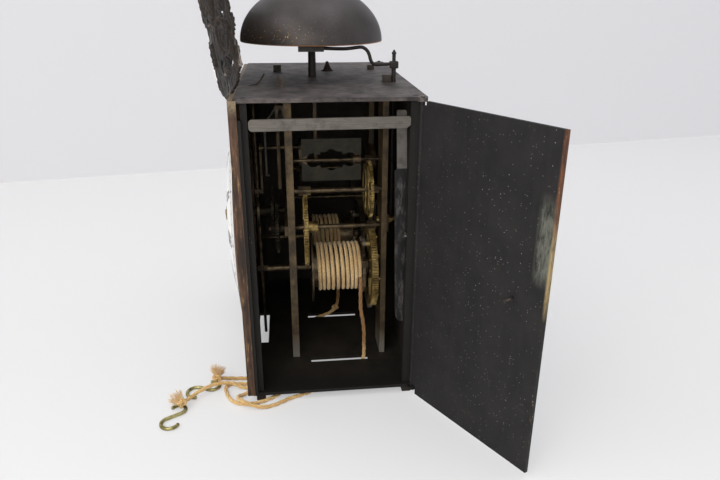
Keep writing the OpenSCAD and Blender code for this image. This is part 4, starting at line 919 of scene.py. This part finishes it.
made = pressed_crest_piece("pressed_crest")
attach(made, "cage")
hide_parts("crown")
made = dial_painting("dial_painting", PAINT)
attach(made, "cage")
for name, shape, node in (
    ("strike_s_hook", ((144.2, -145), 7.5, 223, (125.8, -140.5), 6.3, 213), "strike_hook"),
    ("going_s_hook", ((101, -128), 8.1, 214, (92, -114), 6.6, 225), "going_hook"),
):
    made = s_hook(name, *shape)
    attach(made, "cage")
    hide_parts(node)
for name, at, end, node, seed in (
    ("strike_overhand", (124.5, -137.5, 7.5), (-8, -6, 1), "strike_knot", 21),
    ("going_overhand", (88.5, -109.8, 7.5), (-7, 1, 6), "going_knot", 22),
):
    for made in knot_of_cord(name, at, end, seed):
        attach(made, "cage")
        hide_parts(node)

# The bell is one smooth casting with a plain lip
rising, falling = range(1, 88, 2), range(87, 0, -2)
outer = [(65.2 * math.cos(math.radians(a)), 48.5 * math.sin(math.radians(a))) for a in rising]
inner = [(62.4 * math.cos(math.radians(a)), 45.5 * math.sin(math.radians(a))) for a in falling]
profile = [(62.6, 0), (65.1, 0)] + outer + [(2.8, 48.5), (2.8, 45.5)] + inner + [(62.6, 0)]
made = lathe("cast_bell", (-8, -9.4, 298.4), profile, BELL, 120)
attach(made, "cage")
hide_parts("bell")

# The hammer's arm is one bar bent over a former, held in a collar on its upright staff
STAFF = (38.3, 60.9)
hammer_line = [mm(x, y, CAGE + z) for x, y, z in (
    (*STAFF, 281.6), (38.8, 52, 281.6), (39.1, 45.5, 281.4), (39.4, 42, 282.4), (39.6, 40.2, 285),
    (39.8, 39, 289), (40, 37.4, 292.6), (40.4, 34.6, 295.2), (41, 30.5, 296.3), (43, 17, 295.2),
    (45.2, -1.2, 295.9))]
finial = ((0, 0), (1.9, 0.3), (2.1, 1.6), (1.2, 3), (0.9, 3.8), (0, 4.6))
for made in (
    wire("hammer_arm", hammer_line, 3.0, DARK),
    wire("hammer_staff", [mm(*STAFF, CAGE + z) for z in (136.5, 210, 284)], 4.0, DARK),
    wire("hammer_pin", [mm(*STAFF, CAGE + z) for z in (284, 289.4)], 3.2, DARK),
    lathe("hammer_finial", (*STAFF, 289.4), finial, DARK),
    block("hammer_collar", (34.6, 42), (57.2, 64.6), (278, 284), DARK, 0.9),
    block("hammer_tail_arm", (27.5, 38.3), (59.4, 62.4), (149, 153), DARK, 0.5),
    block("hammer_tail_side", (27.5, 30.5), (46.3, 62.4), (149, 153), DARK, 0.5),
    block("hammer_tail", (27.5, 30.5), (46.3, 47.9), (102, 153), DARK, 0.5),
):
    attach(made, "strike_hammer")
    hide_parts("hammer")

# A bent pin that kept the door shut: along the door, out of it and up
pin = [mm(HINGE[0] + DOOR_WAY[0] * s + DOOR_WAY[1] * out,
          HINGE[1] + DOOR_WAY[1] * s - DOOR_WAY[0] * out, CAGE + z)
    for s, out, z in ((106, 0.2, 136), (105.6, 3.4, 136), (104.6, 4.8, 135.4), (101.4, 5.2, 133.6))]
made = wire("door_pin", pin, 2.2, KEY)
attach(made, "right_door")

# Small fixed things: the frame's folded edges and sill, the stop at the left post, a loose wire on
# the roof and a nail in the guide strip
WIRE_LINE = [mm(*p) for p in ((50, -66, 272.6), (44, -60, 273.4), (40, -56, 276.5), (36, -53, 281))]
NAIL_LINE = [mm(109.4, 62.6, CAGE + 149.6), mm(119.2, 60.8, CAGE + 150.2)]
for made, finish_slot in (
    (block("frame_fold_right", (117.4, 121.6), (-72.4, -69.7), (3.2, 250), POST, 0.3), "blackened_iron"),
    (block("frame_fold_left", (-121.6, -117.4), (-72.4, -69.7), (3.2, 250), POST, 0.3), "blackened_iron"),
    (block("front_sill", (-118, 118), (-75.3, -73.9), (0.4, 3), BLACK, 0.2), "blackened_iron"),
    (block("left_post_stop", (-117, -115.8), (-65.4, -58), (3.2, 262.8), BLACK, 0.3), "blackened_iron"),
    (wire("loose_wire", WIRE_LINE, 1.5, KEY), "blackened_iron"),
    (wire("strip_nail", NAIL_LINE, 2, STEEL), "worn_steel"),
):
    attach(made, "cage")

# The going rope has a half hitch in it just above the floor of the cage
for made in knot_of_cord(
        "going_hitch", (-22, 10.6, 18.4), (0.1, -0.6, -1.2), 23, fibres=0, size=0.95):
    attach(made, "cage")

# The ropes from drum to knot
for name, route, node, seed in (
    ("strike_cord", FREE_STRIKE, "strike_rope", 5),
    ("going_cord", FREE_GOING, "going_rope", 9),
):
    line = [mm(*p) for p in route]
    made = laid_cord(name, line, 3.8 * MM, CORD, seed=seed)
    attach(made, "cage")
    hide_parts(node)

# What is wound on the drums
for name, x, z, turns, body, node, seed in (
    ("strike_wound_cord", 46, 93, 10, "strike_drum", "strike_winding", 3),
    ("going_wound_cord", -46, 89, 7, "going_drum", "going_winding", 4),
):
    made = laid_cord(
        name, wound_route(x, z, turns), 3.5 * MM, PALE_CORD, strands=4, lay=3.6, step=1.1, seed=seed)
    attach(made, body)
    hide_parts(node)
